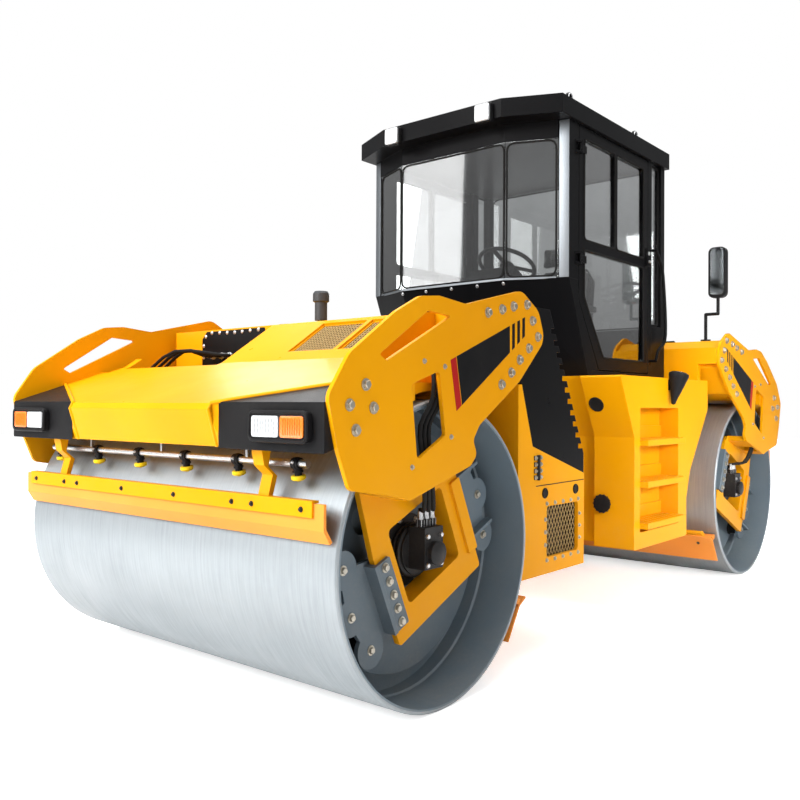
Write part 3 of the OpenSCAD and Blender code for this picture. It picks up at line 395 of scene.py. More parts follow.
def makeDrumSkin(name, centre):
    # ground rolling face with rings round the drum, slate paint in the open ends
    m, t, s = startMaterial(name)
    d = drumLook
    shift = addNode(t, "ShaderNodeMapping", {"Vector": objectPlace(t), "Location": tinted(centre, -1)})
    where = shift.outputs["Vector"]
    split = addNode(t, "ShaderNodeSeparateXYZ", {0: where})
    x, y, z = (split.outputs[k] for k in "XYZ")
    radius = mathNode(t, "SQRT", mathNode(t, "ADD", times(t, y, y), times(t, z, z)))
    angle = mathNode(t, "ARCTAN2", z, y)
    wound = addNode(t, "ShaderNodeCombineXYZ", {
        0: times(t, x, d["ringPitch"]), 1: times(t, mathNode(t, "SINE", angle), d["ringRound"]),
        2: times(t, mathNode(t, "COSINE", angle), d["ringRound"])})
    rings = noiseNode(t, wound.outputs[0], 1.0, 5.0, 0.65)
    skin = mathNode(t, "GREATER_THAN", radius, d["rimStart"])
    grain = weighted(t, rings, 0.55, noiseNode(t, where, 2.6, 5.0, 0.6), 0.45)
    steel = mixColor(t, rangeNode(t, grain, 0.36, 0.66), d["steel"], d["dull"])
    dust = useGroup(t, dustGroup, Top=0.9, Amount=0.25)["Mask"]
    painted = useGroup(t, peelGroup, Gloss=0.45)["Roughness"]
    ground = rangeNode(t, grain, 0.35, 0.68, 0.34, 0.5)
    rough = addNode(t, "ShaderNodeMix", {0: skin, 2: painted, 3: ground}, data_type="FLOAT")
    edges = useGroup(t, edgeGroup, Radius=0.003, Wear=0.0)
    feedAll(t, s, {
        "Base Color": mixColor(t, skin, mixColor(t, dust, d["paint"], dustColor), steel),
        "Metallic": times(t, skin, d["metal"]), "Roughness": rough.outputs[0],
        "Normal": bumped(t, rings, edges["Normal"], 0.06, 0.0005)})
    return m


glassLooks = {
    "windowGlass": dict(color=(0.93, 0.95, 0.95), rough=0.0, coat=1.0),
    "clearLens": dict(color=(0.97, 0.97, 0.97), rough=0.03, coat=0.0),
}


def makeGlass(name, look):
    m, t, s = startMaterial(name)
    film = noiseNode(t, objectPlace(t), 5.0, 5.0, 0.65)
    filmed = tinted(look["color"], 0.94)
    feedAll(t, s, {
        "Roughness": rangeNode(t, film, 0.45, 0.75, look["rough"], look["rough"] + 0.03),
        "Base Color": mixColor(t, rangeNode(t, film, 0.4, 0.7), look["color"], filmed),
        "Transmission Weight": 1.0, "IOR": 1.45, "Coat Weight": look["coat"], "Coat IOR": 1.8})
    return m


lensLooks = {
    "whiteLens": dict(color=(0.58, 0.6, 0.61), rough=0.12),
    "amberLens": dict(color=(0.9, 0.2, 0.012), rough=0.14),
    "redLens": dict(color=(0.62, 0.012, 0.01), rough=0.14),
}


def makeLens(name, look):
    # moulded lens: fine prisms behind a glossy face
    m, t, s = startMaterial(name)
    where = objectPlace(t)
    cells = addNode(t, "ShaderNodeTexChecker", {"Vector": where, "Scale": 110.0}).outputs["Fac"]
    cloud = noiseNode(t, where, 40.0, 3.0)
    tone = weighted(t, cells, 0.5, cloud, 0.4)
    feedAll(t, s, {
        "Base Color": mixColor(t, tone, look["color"], tinted(look["color"], 0.72)),
        "Roughness": rangeNode(t, cloud, 0.3, 0.7, look["rough"], look["rough"] + 0.08),
        "Normal": bumped(t, cells, None, 0.25, 0.0008), "Coat Weight": 0.8, "Coat Roughness": 0.05})
    return m


fabricLooks = {"seatFabric": dict(color=(0.02, 0.02, 0.022), weave=160.0, thread=420.0)}


def makeFabric(name, look):
    m, t, s = startMaterial(name)
    where = objectPlace(t)
    weave = addNode(t, "ShaderNodeTexWave", {"Vector": where, "Scale": look["weave"]}, wave_type="BANDS",
                    bands_direction="DIAGONAL")
    cross = addNode(t, "ShaderNodeTexChecker", {"Vector": where, "Scale": look["thread"]})
    thread = weighted(t, weave.outputs["Fac"], 0.6, cross.outputs["Fac"], 0.4)
    feedAll(t, s, {
        "Base Color": mixColor(t, thread, look["color"], tinted(look["color"], 2.2)),
        "Roughness": rangeNode(t, noiseNode(t, where, 30.0), 0.3, 0.7, 0.78, 0.92),
        "Normal": bumped(t, thread, None, 0.35, 0.0008), "Sheen Weight": 0.3})
    return m


finish = {}
for make, looks in ((makePaint, paintLooks), (makePlastic, plasticLooks), (makeSteel, steelLooks),
                    (makeDrumSkin, drumCentres), (makeGlass, glassLooks), (makeLens, lensLooks),
                    (makeFabric, fabricLooks)):
    finish.update({name: make(name, look) for name, look in looks.items()})

slotFinish = {
    "yellow_paint": "yellowPaint", "drum_steel": "frontDrumSkin", "grey_paint": "greyPaint", "rubber": "rubber",
    "motor_black": "motorBlack", "black_plastic": "blackPlastic", "lamp_lens": "clearLens",
    "scraper_plastic": "scraperPlastic", "bright_steel": "brightSteel", "black_paint": "blackPaint",
    "window_glass": "windowGlass", "seat_fabric": "seatFabric",
}
for part in record["subparts"]:
    solid = cadNodes[part["node"]]
    solid.data.materials.clear()
    solid.data.materials.append(finish[slotFinish[part["material_slot"]]])
cadNodes["rear_drum"].data.materials[0] = finish["rearDrumSkin"]
cadNodes["exhaust_cap"].data.materials[0] = finish["stackGrey"]
print("finishes on the solids")


# mesh tools
def evaluated(piece):
    return bpy.data.meshes.new_from_object(piece.evaluated_get(bpy.context.evaluated_depsgraph_get()))


def linkPiece(name, mesh, body, sharp=32):
    mesh.polygons.foreach_set("use_smooth", [True] * len(mesh.polygons))
    mesh.set_sharp_from_angle(angle=math.radians(sharp))
    piece = linked(name, mesh)
    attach(piece, body)
    return piece


class Shape:
    # one piece built up from several solids, each with its own finish
    def __init__(self, name):
        self.name, self.bm, self.finishes = name, bmesh.new(), []

    def take(self, part, look, bevel=0.0, segments=2):
        bmesh.ops.recalc_face_normals(part, faces=part.faces)
        if bevel:
            edges = [e for e in part.edges if e.calc_face_angle(0) > 0.6]
            bmesh.ops.bevel(part, geom=edges, offset=bevel, segments=segments, profile=0.6, affect="EDGES",
                            clamp_overlap=True)
        if look not in self.finishes:
            self.finishes.append(look)
        known = {v: self.bm.verts.new(v.co) for v in part.verts}
        for f in part.faces:
            self.bm.faces.new([known[v] for v in f.verts]).material_index = self.finishes.index(look)
        part.free()

    def prism(self, points, push, look, bevel=0.0, segments=2):
        part = bmesh.new()
        base = part.faces.new([part.verts.new(p) for p in points])
        grown = bmesh.ops.extrude_face_region(part, geom=[base])["geom"]
        moved = [g for g in grown if isinstance(g, bmesh.types.BMVert)]
        bmesh.ops.translate(part, verts=moved, vec=Vector(push))
        self.take(part, look, bevel, segments)

    def box(self, low, high, look, bevel=0.0):
        (a, b, c), (d, e, f) = low, high
        self.prism([(x, y, c) for x, y in corners(a, d, b, e)], (0, 0, f - c), look, bevel)

    def sideBox(self, side, low, high, look, bevel):
        # a box given for the machine's left, set on either side
        x0, x1 = sorted((side * low[0], side * high[0]))
        self.box((x0, *low[1:]), (x1, *high[1:]), look, bevel)

    def lathe(self, place, axis, profile, look, count=24):
        # profile: (radius, distance along the axis) from one end to the other
        turn = Vector(axis).to_track_quat("Z", "Y").to_matrix()
        part = bmesh.new()
        rings = []
        for r, h in profile:
            around = circle(count)[:1 if r == 0 else count]
            rings.append([part.verts.new(Vector(place) + turn @ Vector((r * c, r * s, h))) for c, s in around])
        for a, b in zip(rings, rings[1:]):
            for k in range(count):
                n = (k + 1) % count
                quad = [a[k % len(a)], a[n % len(a)], b[n % len(b)], b[k % len(b)]]
                face = [v for i, v in enumerate(quad) if v not in quad[:i]]
                if len(face) > 2:
                    part.faces.new(face)
        for ring in (rings[0][::-1], rings[-1]):
            if len(ring) > 1:
                part.faces.new(ring)
        self.take(part, look)

    def tube(self, path, radius, look, count=10, closed=False):
        path = [Vector(p) for p in path]
        part = bmesh.new()
        last = len(path) - 1
        rings, side = [], None
        for i, p in enumerate(path):
            before = path[i - 1] if i or closed else p
            after = path[(i + 1) % len(path)] if i < last or closed else p
            along = (after - before).normalized()
            if side is None:
                side = along.orthogonal().normalized()
            side = (side - along * side.dot(along)).normalized()
            up = along.cross(side)
            rings.append([part.verts.new(p + radius * (c * side + s * up)) for c, s in circle(count)])
        for a, b in list(zip(rings, rings[1:])) + ([(rings[-1], rings[0])] if closed else []):
            for k in range(count):
                part.faces.new([a[k], a[(k + 1) % count], b[(k + 1) % count], b[k]])
        if not closed:
            part.faces.new(rings[0][::-1])
            part.faces.new(rings[-1])
        self.take(part, look)

    def done(self, body, sharp=32):
        mesh = bpy.data.meshes.new(self.name)
        self.bm.to_mesh(mesh)
        self.bm.free()
        for look in self.finishes:
            mesh.materials.append(finish[look])
        return linkPiece(self.name, mesh, body, sharp)


def roundedPath(points, radius, steps=5):
    # a flat closed outline with each of its corner points turned into an arc
    path = []
    count = len(points)
    for i in range(count):
        a, b, c = (Vector(points[(i + k) % count]) for k in (-1, 0, 1))
        u, v = (a - b).normalized(), (c - b).normalized()
        half = math.acos(max(-1, min(1, u.dot(v)))) / 2
        reach = min(radius / math.tan(half), 0.48 * min((a - b).length, (c - b).length))
        p, q = b + u * reach, b + v * reach
        for k in range(steps + 1):
            t = k / steps
            path.append(p * (1 - t) ** 2 + b * 2 * t * (1 - t) + q * t * t)
    return path


def roundedRect(x0, x1, z0, z1, r, inset=0):
    points = corners(x0 + inset, x1 - inset, z0 + inset, z1 - inset)
    return [(p.x, p.z) for p in roundedPath([(x, 0, z) for x, z in points], r)]


# Geometry Nodes: turned parts set on points, and wires along edges
def newTree(name, inputs):
    tree = bpy.data.node_groups.new(name, "GeometryNodeTree")

    def socket(label, way, kind):
        return tree.interface.new_socket(label, in_out=way, socket_type="NodeSocket" + kind)

    socket("Geometry", "INPUT", "Geometry")
    for label, value in inputs.items():
        socket(label, "INPUT", "Int" if isinstance(value, int) else "Float").default_value = value
    socket("Finish", "INPUT", "Material")
    socket("Geometry", "OUTPUT", "Geometry")
    return tree, addNode(tree, "NodeGroupInput").outputs, addNode(tree, "NodeGroupOutput").inputs


def endTree(tree, geometry, inn, out):
    real = addNode(tree, "GeometryNodeRealizeInstances", {"Geometry": geometry}).outputs["Geometry"]
    paint = addNode(tree, "GeometryNodeSetMaterial", {"Geometry": real, "Material": inn["Finish"]})
    feed(tree, out["Geometry"], paint.outputs["Geometry"])


def stack(a, b, c, spin=1.0):
    # sizes of three stacked discs, each with radius, top radius, length and number of sides
    values = {"Spin": spin}
    for part, (r, t, h, n) in zip("ABC", (a, b, c)):
        values.update({"Radius " + part: r, "Top " + part: t, "Length " + part: h, "Sides " + part: n})
    return values


def makeTurnedTree():
    # the stacked discs stand on each point along its "aim", turned by chance about it
    plain = (0.01, 0.01, 0.005, 12)
    tree, inn, out = newTree("turnedParts", {**stack(plain, plain, plain), "Seed": 3})
    join = addNode(tree, "GeometryNodeJoinGeometry")
    start = 0.0
    for part in "ABC":
        cone = addNode(tree, "GeometryNodeMeshCone", {
            "Vertices": inn["Sides " + part], "Radius Bottom": inn["Radius " + part],
            "Radius Top": inn["Top " + part], "Depth": inn["Length " + part]})
        lift = addNode(tree, "ShaderNodeCombineXYZ", {"Z": start}).outputs[0]
        move = addNode(tree, "GeometryNodeTransform", {"Geometry": cone.outputs["Mesh"], "Translation": lift})
        feed(tree, join.inputs["Geometry"], move.outputs["Geometry"])
        start = mathNode(tree, "ADD", start, inn["Length " + part])
    aim = addNode(tree, "GeometryNodeInputNamedAttribute", {"Name": "aim"}, data_type="FLOAT_VECTOR")
    face = addNode(tree, "FunctionNodeAlignRotationToVector", {"Vector": aim.outputs["Attribute"]}, axis="Z")
    chance = addNode(tree, "FunctionNodeRandomValue", {3: inn["Spin"], "Seed": inn["Seed"]}, data_type="FLOAT")
    spin = addNode(tree, "FunctionNodeAxisAngleToRotation", {"Axis": (0, 0, 1), "Angle": chance.outputs[1]})
    turned = addNode(tree, "FunctionNodeRotateRotation", {
        "Rotation": face.outputs["Rotation"], "Rotate By": spin.outputs["Rotation"]}, rotation_space="LOCAL")
    place = addNode(tree, "GeometryNodeInstanceOnPoints", {
        "Points": inn["Geometry"], "Instance": join.outputs["Geometry"],
        "Rotation": turned.outputs["Rotation"]})
    endTree(tree, place.outputs["Instances"], inn, out)
    return tree


def makeWireTree():
    # a round or square wire along every edge of the base mesh
    tree, inn, out = newTree("wireAlongEdges", {"Radius": 0.002, "Sides": 4})
    curve = addNode(tree, "GeometryNodeMeshToCurve", {"Mesh": inn["Geometry"]}).outputs["Curve"]
    ring = addNode(tree, "GeometryNodeCurvePrimitiveCircle",
                   {"Resolution": inn["Sides"], "Radius": inn["Radius"]}, mode="RADIUS").outputs["Curve"]
    wire = addNode(tree, "GeometryNodeCurveToMesh", {"Curve": curve, "Profile Curve": ring, "Fill Caps": True})
    endTree(tree, wire.outputs["Mesh"], inn, out)
    return tree


turnedTree, wireTree = makeTurnedTree(), makeWireTree()


def growTree(name, base, tree, values, look, body):
    # runs a tree once and keeps the plain mesh that comes out
    holder = linked(name + "Base", base)
    modifier = holder.modifiers.new("grow", "NODES")
    modifier.node_group = tree
    values = {**values, "Finish": finish[look]}
    for item in tree.interface.items_tree:
        if item.in_out == "INPUT" and item.name in values:
            modifier[item.identifier] = values[item.name]
    bpy.context.view_layer.update()
    grown = evaluated(holder)
    bpy.data.objects.remove(holder)
    grown.name = name
    return linkPiece(name, grown, body)


def growParts(name, spots, sizes, look, body):
    mesh = bpy.data.meshes.new(name + "Spots")
    mesh.from_pydata([tuple(p) for p, _ in spots], [], [])
    aim = mesh.attributes.new("aim", "FLOAT_VECTOR", "POINT")
    for i, (_, v) in enumerate(spots):
        aim.data[i].vector = v
    return growTree(name, mesh, turnedTree, sizes, look, body)


def growWires(name, runs, wire, look, body, closed=False):
    # wire: radius and number of sides
    mesh = bpy.data.meshes.new(name + "Lines")
    points, edges = [], []
    for run in runs:
        n, count = len(points), len(run)
        points += [tuple(p) for p in run]
        edges += [(n + k, n + (k + 1) % count) for k in range(count if closed else count - 1)]
    mesh.from_pydata(points, edges, [])
    return growTree(name, mesh, wireTree, {"Radius": wire[0], "Sides": wire[1]}, look, body)


boltSizes = {
    "big": stack((0.0225, 0.022, 0.004, 20), (0.0162, 0.0162, 0.009, 6), (0.0162, 0.013, 0.003, 6)),
    "middle": stack((0.02, 0.0195, 0.003, 18), (0.014, 0.014, 0.008, 6), (0.014, 0.0112, 0.0025, 6)),
    "small": stack((0.011, 0.0105, 0.002, 14), (0.0075, 0.0075, 0.005, 6), (0.0075, 0.006, 0.0015, 6)),
    "rivet": stack((0.011, 0.0105, 0.0015, 14), (0.0095, 0.007, 0.0025, 12), (0.007, 0.002, 0.0015, 12)),
}


def setBolts(name, size, spots, look, body):
    return growParts(name, spots, boltSizes[size], look, body)


# bolts on the side plates, brackets and scraper bars
plateBolts = {
    "face": 1113.0,
    "rearRow": [(235, 991), (342, 1014), (433, 1035), (545, 1053), (593, 984), (640, 915), (562, 858),
                (485, 803), (416, 744), (339, 690)],
    "frontFour": [(-529, 671), (-612, 599), (-488, 589), (-580, 511)],
    "window": [(-196, 768), (-66, 752), (-22, 474), (-268, 366)],
}
bracketBolts = {"lean": 24.0, "stripFace": 996.3, "stripLine": -268.0, "stripSpan": (-150, 95), "count": 5,
                "lobeFace": 939.0, "pitch": 457.0, "angles": (182, 206, 229),
                "flangeFace": 873.0, "flangePitch": 130.0, "flangeCount": 8}


def makeBolts(end):
    p, b = plateBolts, bracketBolts
    flip = 1 if end == "front" else -1
    c, s = flip * math.cos(math.radians(b["lean"])), flip * math.sin(math.radians(b["lean"]))
    low, high = b["stripSpan"]
    across = b["stripLine"]
    along = [low + (high - low) * k / (b["count"] - 1) for k in range(b["count"])]
    strip = [(across * c - e * s, across * s + e * c) for e in along]
    turns = [math.radians(a + half) for half in (0, 180) for a in b["angles"]]
    lobes = [(b["pitch"] * math.cos(t), b["pitch"] * math.sin(t)) for t in turns]
    flange = [(b["flangePitch"] * u, b["flangePitch"] * v) for u, v in circle(b["flangeCount"], 0.5)]
    big, middle, small = [], [], []
    for side in sides:
        big += onSide(end, side, p["face"], p["rearRow"] + p["frontFour"])
        middle += onSide(end, side, b["stripFace"], strip) + onSide(end, side, b["lobeFace"], lobes)
        small += onSide(end, side, p["face"], p["window"]) + onSide(end, side, b["flangeFace"], flange)
    setBolts(end + "PlateBolts", "big", big, "zincSteel", frameOf[end])
    setBolts(end + "BracketBolts", "middle", middle, "zincSteel", frameOf[end])
    setBolts(end + "SmallBolts", "small", small, "zincSteel", frameOf[end])


# bolts of the outer scraper, and the bent apron under the inner scraper's foot, clear of the drum
scraperBolts = {"x": (190, 560, 675, 940), "line": (-674.0, 231.0), "face": (-1, 0)}
scraperApron = {
    "half": 1045.0, "line": (593.4, -342.8), "face": (0.842, -0.539), "edge": 0.0025,
    "profile": [(655.2, -281.9), (601.2, -312.3), (505, -462), (513.4, -467.4), (608.2, -319.8),
                (660.1, -290.6)],
}


def makeScrapers(end):
    a = scraperApron

    def boltRow(name, row):
        facing = turnEnd(end, (0, *row["face"]))
        spots = [(atEnd(end, x * side, *row["line"]), facing) for x in scraperBolts["x"] for side in sides]
        setBolts(end + name, "small", spots, "motorBlack", frameOf[end])

    boltRow("ScraperBolts", scraperBolts)
    shape = Shape(end + "ScraperApron")
    shape.prism([atEnd(end, -a["half"], y, z) for y, z in a["profile"]], turnEnd(end, (a["half"] / 500, 0, 0)),
                "scraperPlastic", a["edge"])
    shape.done(frameOf[end])
    boltRow("ApronBolts", a)


for end in ends:
    makeBolts(end)
    makeScrapers(end)
print("bolts and scraper aprons set")

# striping on the side plates: red band, black field and three slashes between two rising lines
stripe = {"face": 1113.05, "thick": 0.0008, "red": [(-29, 780), (8, 794), (47, 599), (13, 577)],
          "field": [(12, 796), (405, 948), (406, 831), (51, 601)],
          "slashStart": (424, 466, 508), "slashWidth": 22.0,
          "topLine": (-29, 780, 0.387), "lowLine": (13, 577, 0.646)}


def makeStriping(end):
    shape = Shape(end + "Striping")
    s = stripe

    def onLine(line, y):
        y0, z0, rise = s[line]
        return y, z0 + (y - y0) * rise

    fields = [(s["red"], "redVinyl"), (s["field"], "blackVinyl")]
    for y in s["slashStart"]:
        e = y + s["slashWidth"]
        slash = [onLine("topLine", y), onLine("topLine", e), onLine("lowLine", e), onLine("lowLine", y)]
        fields.append((slash, "blackVinyl"))
    for side in sides:
        for outline, look in fields:
            points = [p for p, _ in onSide(end, side, s["face"], outline)]
            shape.prism(points, turnEnd(end, (side * s["thick"], 0, 0)), look)
    shape.done(frameOf[end])


for end in ends:
    makeStriping(end)

# lamps: rounded housing with two ribbed lenses
lampUnit = {"x": (740, 1040), "z": (468, 576), "back": -715.3, "depth": 26.0, "round": 26, "split": (898, 906),
            "rimRound": 24, "rimInset": 3, "rimWire": 0.007, "lens": 16, "lensRound": 12, "lensDepth": 0.006,
            "ribs": 9, "ribWire": 0.0022}


def makeLamps(end, innerLook, outerLook):
    shape = Shape(end + "HeadLamps")
    u = lampUnit
    (x0, x1), (z0, z1) = u["x"], u["z"]
    low, high = z0 + u["lens"], z1 - u["lens"]
    front = u["back"] - u["depth"]
    ahead = turnEnd(end, forward)
    lenses = ((x0 + u["lens"], u["split"][0], innerLook), (u["split"][1], x1 - u["lens"], outerLook))
    for side in sides:
        def onFace(y, outline):
            return [atEnd(end, side * x, y, z) for x, z in outline]

        housing = onFace(u["back"], roundedRect(x0, x1, z0, z1, u["round"]))
        shape.prism(housing, ahead * u["depth"] / 1000, "blackPlastic", 0.004)
        rim = onFace(front, roundedRect(x0, x1, z0, z1, u["rimRound"], u["rimInset"]))
        shape.tube(rim, u["rimWire"], "blackPlastic", 8, True)
        for a, b, look in lenses:
            lens = onFace(front + 0.5, roundedRect(a, b, low, high, u["lensRound"]))
            shape.prism(lens, ahead * u["lensDepth"], look, 0.002)
            for k in range(1, u["ribs"]):
                x = a + 6 + (b - a - 12) * k / u["ribs"]
                shape.tube(onFace(front - 5.6, ((x, low + 10), (x, high - 10))), u["ribWire"], look, 6)
    return shape.done(frameOf[end])


frontLamps = makeLamps("front", "whiteLens", "amberLens")
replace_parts(frontLamps, "front_lamps")
rearLamps = makeLamps("rear", "redLens", "amberLens")
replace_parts(rearLamps, "rear_lamps")

workLamp = {"x": 0.343, "y": (-0.5463, -0.4983), "z": (2.862, 2.972), "round": 0.016, "lens": 0.016,
            "lensInset": 0.006, "lensRound": 0.014, "screwInset": 0.012,
            "screw": [(0.004, 0), (0.004, 0.002), (0, 0.0025)]}


def makeWorkLamps():
    shape = Shape("cabWorkLamps")
    w = workLamp
    (y0, y1), (z0, z1) = w["y"], w["z"]
    half = (z1 - z0) / 2
    rim = y0 + w["lens"]
    for side in sides:
        x = side * w["x"]

        def onFace(y, r, inset):
            return [(px, y, pz) for px, pz in roundedRect(x - half, x + half, z0, z1, r, inset)]

        shape.prism(onFace(rim, w["round"], 0), (0, y1 - rim, 0), "blackPlastic", 0.004)
        lens = onFace(rim + 0.002, w["lensRound"], w["lensInset"])
        shape.prism(lens, (0, -w["lens"], 0), "whiteLens", 0.003)
        for dx in (w["screwInset"] - half, half - w["screwInset"]):
            shape.lathe((x + dx, rim - 0.0005, (z0 + z1) / 2), forward, w["screw"], "brightSteel", 10)
    return shape.done("rear_frame")


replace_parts(makeWorkLamps(), "rear_lamps")
print("lamps built")

# wire grilles over the air intakes on the nose slope, and diamond mesh in the engine windows, each over dark
# sheets of painted shade
noseSlope = ((-135, 800), (195, 1010))
grille = {
    "vents": [(205, 495), (522, 665)], "span": (83, 360), "set": -15.0, "pitch": 18.0, "wire": (0.0027, 4),
    "cross": 1.2, "frame": 9.0, "frameGap": 0.4, "frameFoot": -19.0, "floor": -33.6,
    "window": (925, -145, 1245, 105), "panelFace": 975.0, "diamond": 30.0, "rise": 1.6, "lift": 1.5,
    "strand": (0.0023, 4), "overlap": 5, "shortest": 4, "rimFace": 972, "rim": 19, "rimWidth": 16,
    "rimDepth": 0.007, "tray": 0.07, "trayRim": 15, "trayWall": 3,
}


def onSlope(x, s, n):
    return atEnd("front", x, *upSlope(*noseSlope, s, n))


slopeNormal = onSlope(0, 0, 1) - onSlope(0, 0, 0)


def makeVents(frames):
    # two sets of straight wires, one lying on the other, in a flat frame over a dark floor that is painted
    # shade of the intake below
    g = grille
    wires = []
    s0, s1 = g["span"]
    for x0, x1 in g["vents"]:
        a0, a1, b0, b1 = x0 + 2, x1 - 2, s0 + 2, s1 - 2
        for k in range(int((a1 - a0) / g["pitch"]) + 1):
            wires.append([onSlope(a0 + k * g["pitch"], b, g["set"] + g["cross"]) for b in (b0, b1)])
        for k in range(int((b1 - b0) / g["pitch"]) + 1):
            wires.append([onSlope(a, b0 + k * g["pitch"], g["set"] - g["cross"]) for a in (a0, a1)])
        for a, b, c, d in frameStrips(x0, x1, s0, s1, g["frame"]):
            bar = corners(a + g["frameGap"], b - g["frameGap"], c + g["frameGap"], d - g["frameGap"])
            bar = [onSlope(*p, g["frameFoot"]) for p in bar]
            frames.prism(bar, slopeNormal * g["frame"], "yellowPaint", 0.0008, 1)
        # the dark floor under the wires is painted shade
        floor = corners(x0 + 1, x1 - 1, s0 + 1, s1 - 1)
        frames.prism([onSlope(*p, g["floor"]) for p in floor], slopeNormal * 3, "darkMesh")
    return wires


def slantLines(y0, y1, z0, z1, pitch, rise):
    # slanting lines both ways across a rectangle, cut off at its edges
    for slant in sides:
        for k in range(int((y1 - y0 + z1 - z0) / pitch)):
            ya, za = y0 + (k + 0.5) * pitch, z0
            yb, zb = ya - (z1 - z0) / rise, z1
            if ya > y1:
                ya, za = y1, z0 + (ya - y1) * rise
            if yb < y0:
                yb, zb = y0, z1 - (y0 - yb) * rise
            if zb - za >= grille["shortest"]:
                if slant < 0:
                    ya, yb = y0 + y1 - ya, y0 + y1 - yb
                yield slant, (ya, za), (yb, zb)


def makeWindows(frames):
    g = grille
    y0, z0, y1, z1 = g["window"]
    strands = []

    def around(r):
        return y0 - r, y1 + r, z0 - r, z1 + r

    for side in sides:
        def slab(face, area, depth, look, *edge):
            points = [atEnd("front", side * face, p, q) for p, q in corners(*area)]
            frames.prism(points, (side * depth, 0, 0), look, *edge)

        for slant, *pair in slantLines(*around(g["overlap"]), g["diamond"], g["rise"]):
            x = side * (g["panelFace"] + slant * g["lift"])
            strands.append([atEnd("front", x, y, z) for y, z in pair])
        for bar in frameStrips(*around(g["rim"]), g["rimWidth"]):
            slab(g["rimFace"], bar, g["rimDepth"], "blackPaint", 0.0008, 1)
        # a dark tray behind the mesh: painted shade of the engine bay inside
        floor = g["rimFace"] - 1000 * g["tray"]
        slab(floor, around(g["trayRim"]), g["trayWall"] / 1000, "darkMesh")
        for wall in frameStrips(*around(g["trayRim"]), g["trayWall"]):
            slab(floor, wall, g["tray"], "darkMesh")
    return strands


def makeGrilles():
    frames = Shape("grilleFrames")
    wires, strands = makeVents(frames), makeWindows(frames)
    frames.done("front_frame")
    for name, runs, wire in (("windowMesh", strands, grille["strand"]), ("grilleMesh", wires, grille["wire"])):
        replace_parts(growWires(name, runs, wire, "meshWire", "front_frame"), "front_grilles")


makeGrilles()

# riveted black panel on the back wall of the open bay
bayPanel = {"x": (-786, -205), "y": (201.5, 204.6), "z": (694, 1003), "cut": (60, 120), "smallCut": 40,
            "rivetPitch": 62.0, "rivetInset": 14}


def makeBayPanel():
    b = bayPanel
    (x0, x1), (y0, y1), (z0, z1) = b["x"], b["y"], b["z"]
    (cutX, cutZ), small = b["cut"], b["smallCut"]
    shape = Shape("bayBackPanel")
    outline = [(x0, z0), (x1, z0), (x1, z1 - cutZ), (x1 - cutX, z1), (x0 + small, z1), (x0, z1 - small)]
    back = [atEnd("front", x, y1, z) for x, z in outline]
    shape.prism(back, (0, (y0 - y1) / 1000, 0), "blackPaint", 0.0006, 1)
    shape.done("front_frame")
    spots = []
    cx, cz = (x0 + x1) / 2, (z0 + z1) / 2
    for (ax, az), (bx, bz) in zip(outline[1:], outline[2:] + outline[:1]):
        count = max(1, int(math.hypot(bx - ax, bz - az) / b["rivetPitch"]))
        for k in range(count):
            x, z = ax + (bx - ax) * (k + 0.5) / count, az + (bz - az) * (k + 0.5) / count
            pull = b["rivetInset"] / math.hypot(cx - x, cz - z)
            spots.append((atEnd("front", x + pull * (cx - x), y0, z + pull * (cz - z)), forward))
    setBolts("bayRivets", "rivet", spots, "brightSteel", "front_frame")


makeBayPanel()

# spray nozzles: clamp round the pipe with its screw, body and cap
nozzle = {
    "count": 6, "step": 336.6, "y": -600.0, "z": 385.0, "tilt": 8.0,
    "clampStart": -0.017, "capStart": 0.045, "screwStart": (0, -0.023, 0.004),
    "clamp": stack((0.0215, 0.0215, 0.011, 16), (0.0235, 0.0235, 0.012, 16), (0.0215, 0.0215, 0.011, 16)),
    "body": stack((0.0175, 0.0165, 0.026, 14), (0.0205, 0.0205, 0.008, 6), (0.0145, 0.0145, 0.012, 14)),
    "cap": stack((0.0275, 0.0275, 0.013, 12), (0.0275, 0.0205, 0.005, 12), (0.0085, 0.0075, 0.004, 10)),
    "screw": stack((0.006, 0.006, 0.002, 10), (0.0048, 0.0048, 0.004, 6), (0.0048, 0.0036, 0.001, 6)),
}


def makeNozzles(end):
    n = nozzle
    t = math.radians(n["tilt"])
    aim, across, ahead = (turnEnd(end, v) for v in ((0, math.sin(t), -math.cos(t)), (1, 0, 0), forward))
    places = [atEnd(end, n["step"] * (k - (n["count"] - 1) / 2), n["y"], n["z"]) for k in range(n["count"])]
    for name, size, shift, way, look, slot in (
            ("Clamps", "clamp", across * n["clampStart"], across, "blackPlastic", "black_plastic"),
            ("Bodies", "body", aim * 0, aim, "blackPlastic", "black_plastic"),
            ("Caps", "cap", aim * n["capStart"], aim, "nozzleCap", "yellow_paint"),
            ("ClampScrews", "screw", turnEnd(end, n["screwStart"]), ahead, "brightSteel", "bright_steel")):
        growParts(end + "Spray" + name, [(p + shift, way) for p in places], n[size], look, frameOf[end])


for end in ends:
    makeNozzles(end)
print("grilles, bay panel and nozzles built")

# crimped fittings where the hoses meet the motors and leave the hood
hoseEnds = {
    "portX": 970.5, "places": (-38, 0, 38), "portZ": 105.0,
    "wallX": 760.3, "wallZ": 745.0, "wallY": (70, 130, 190),
    "bayY": 204.7, "bayZ": 865.0, "bayX": (-540, -610, -680),
    "nut": stack((0.0185, 0.0185, 0.03, 6), (0.0135, 0.013, 0.012, 16), (0.0118, 0.0112, 0.03, 16), 0.5),
    "crimp": stack((0.019, 0.019, 0.008, 6), (0.0155, 0.0155, 0.012, 6), (0.0118, 0.0112, 0.032, 16), 0.5),
}


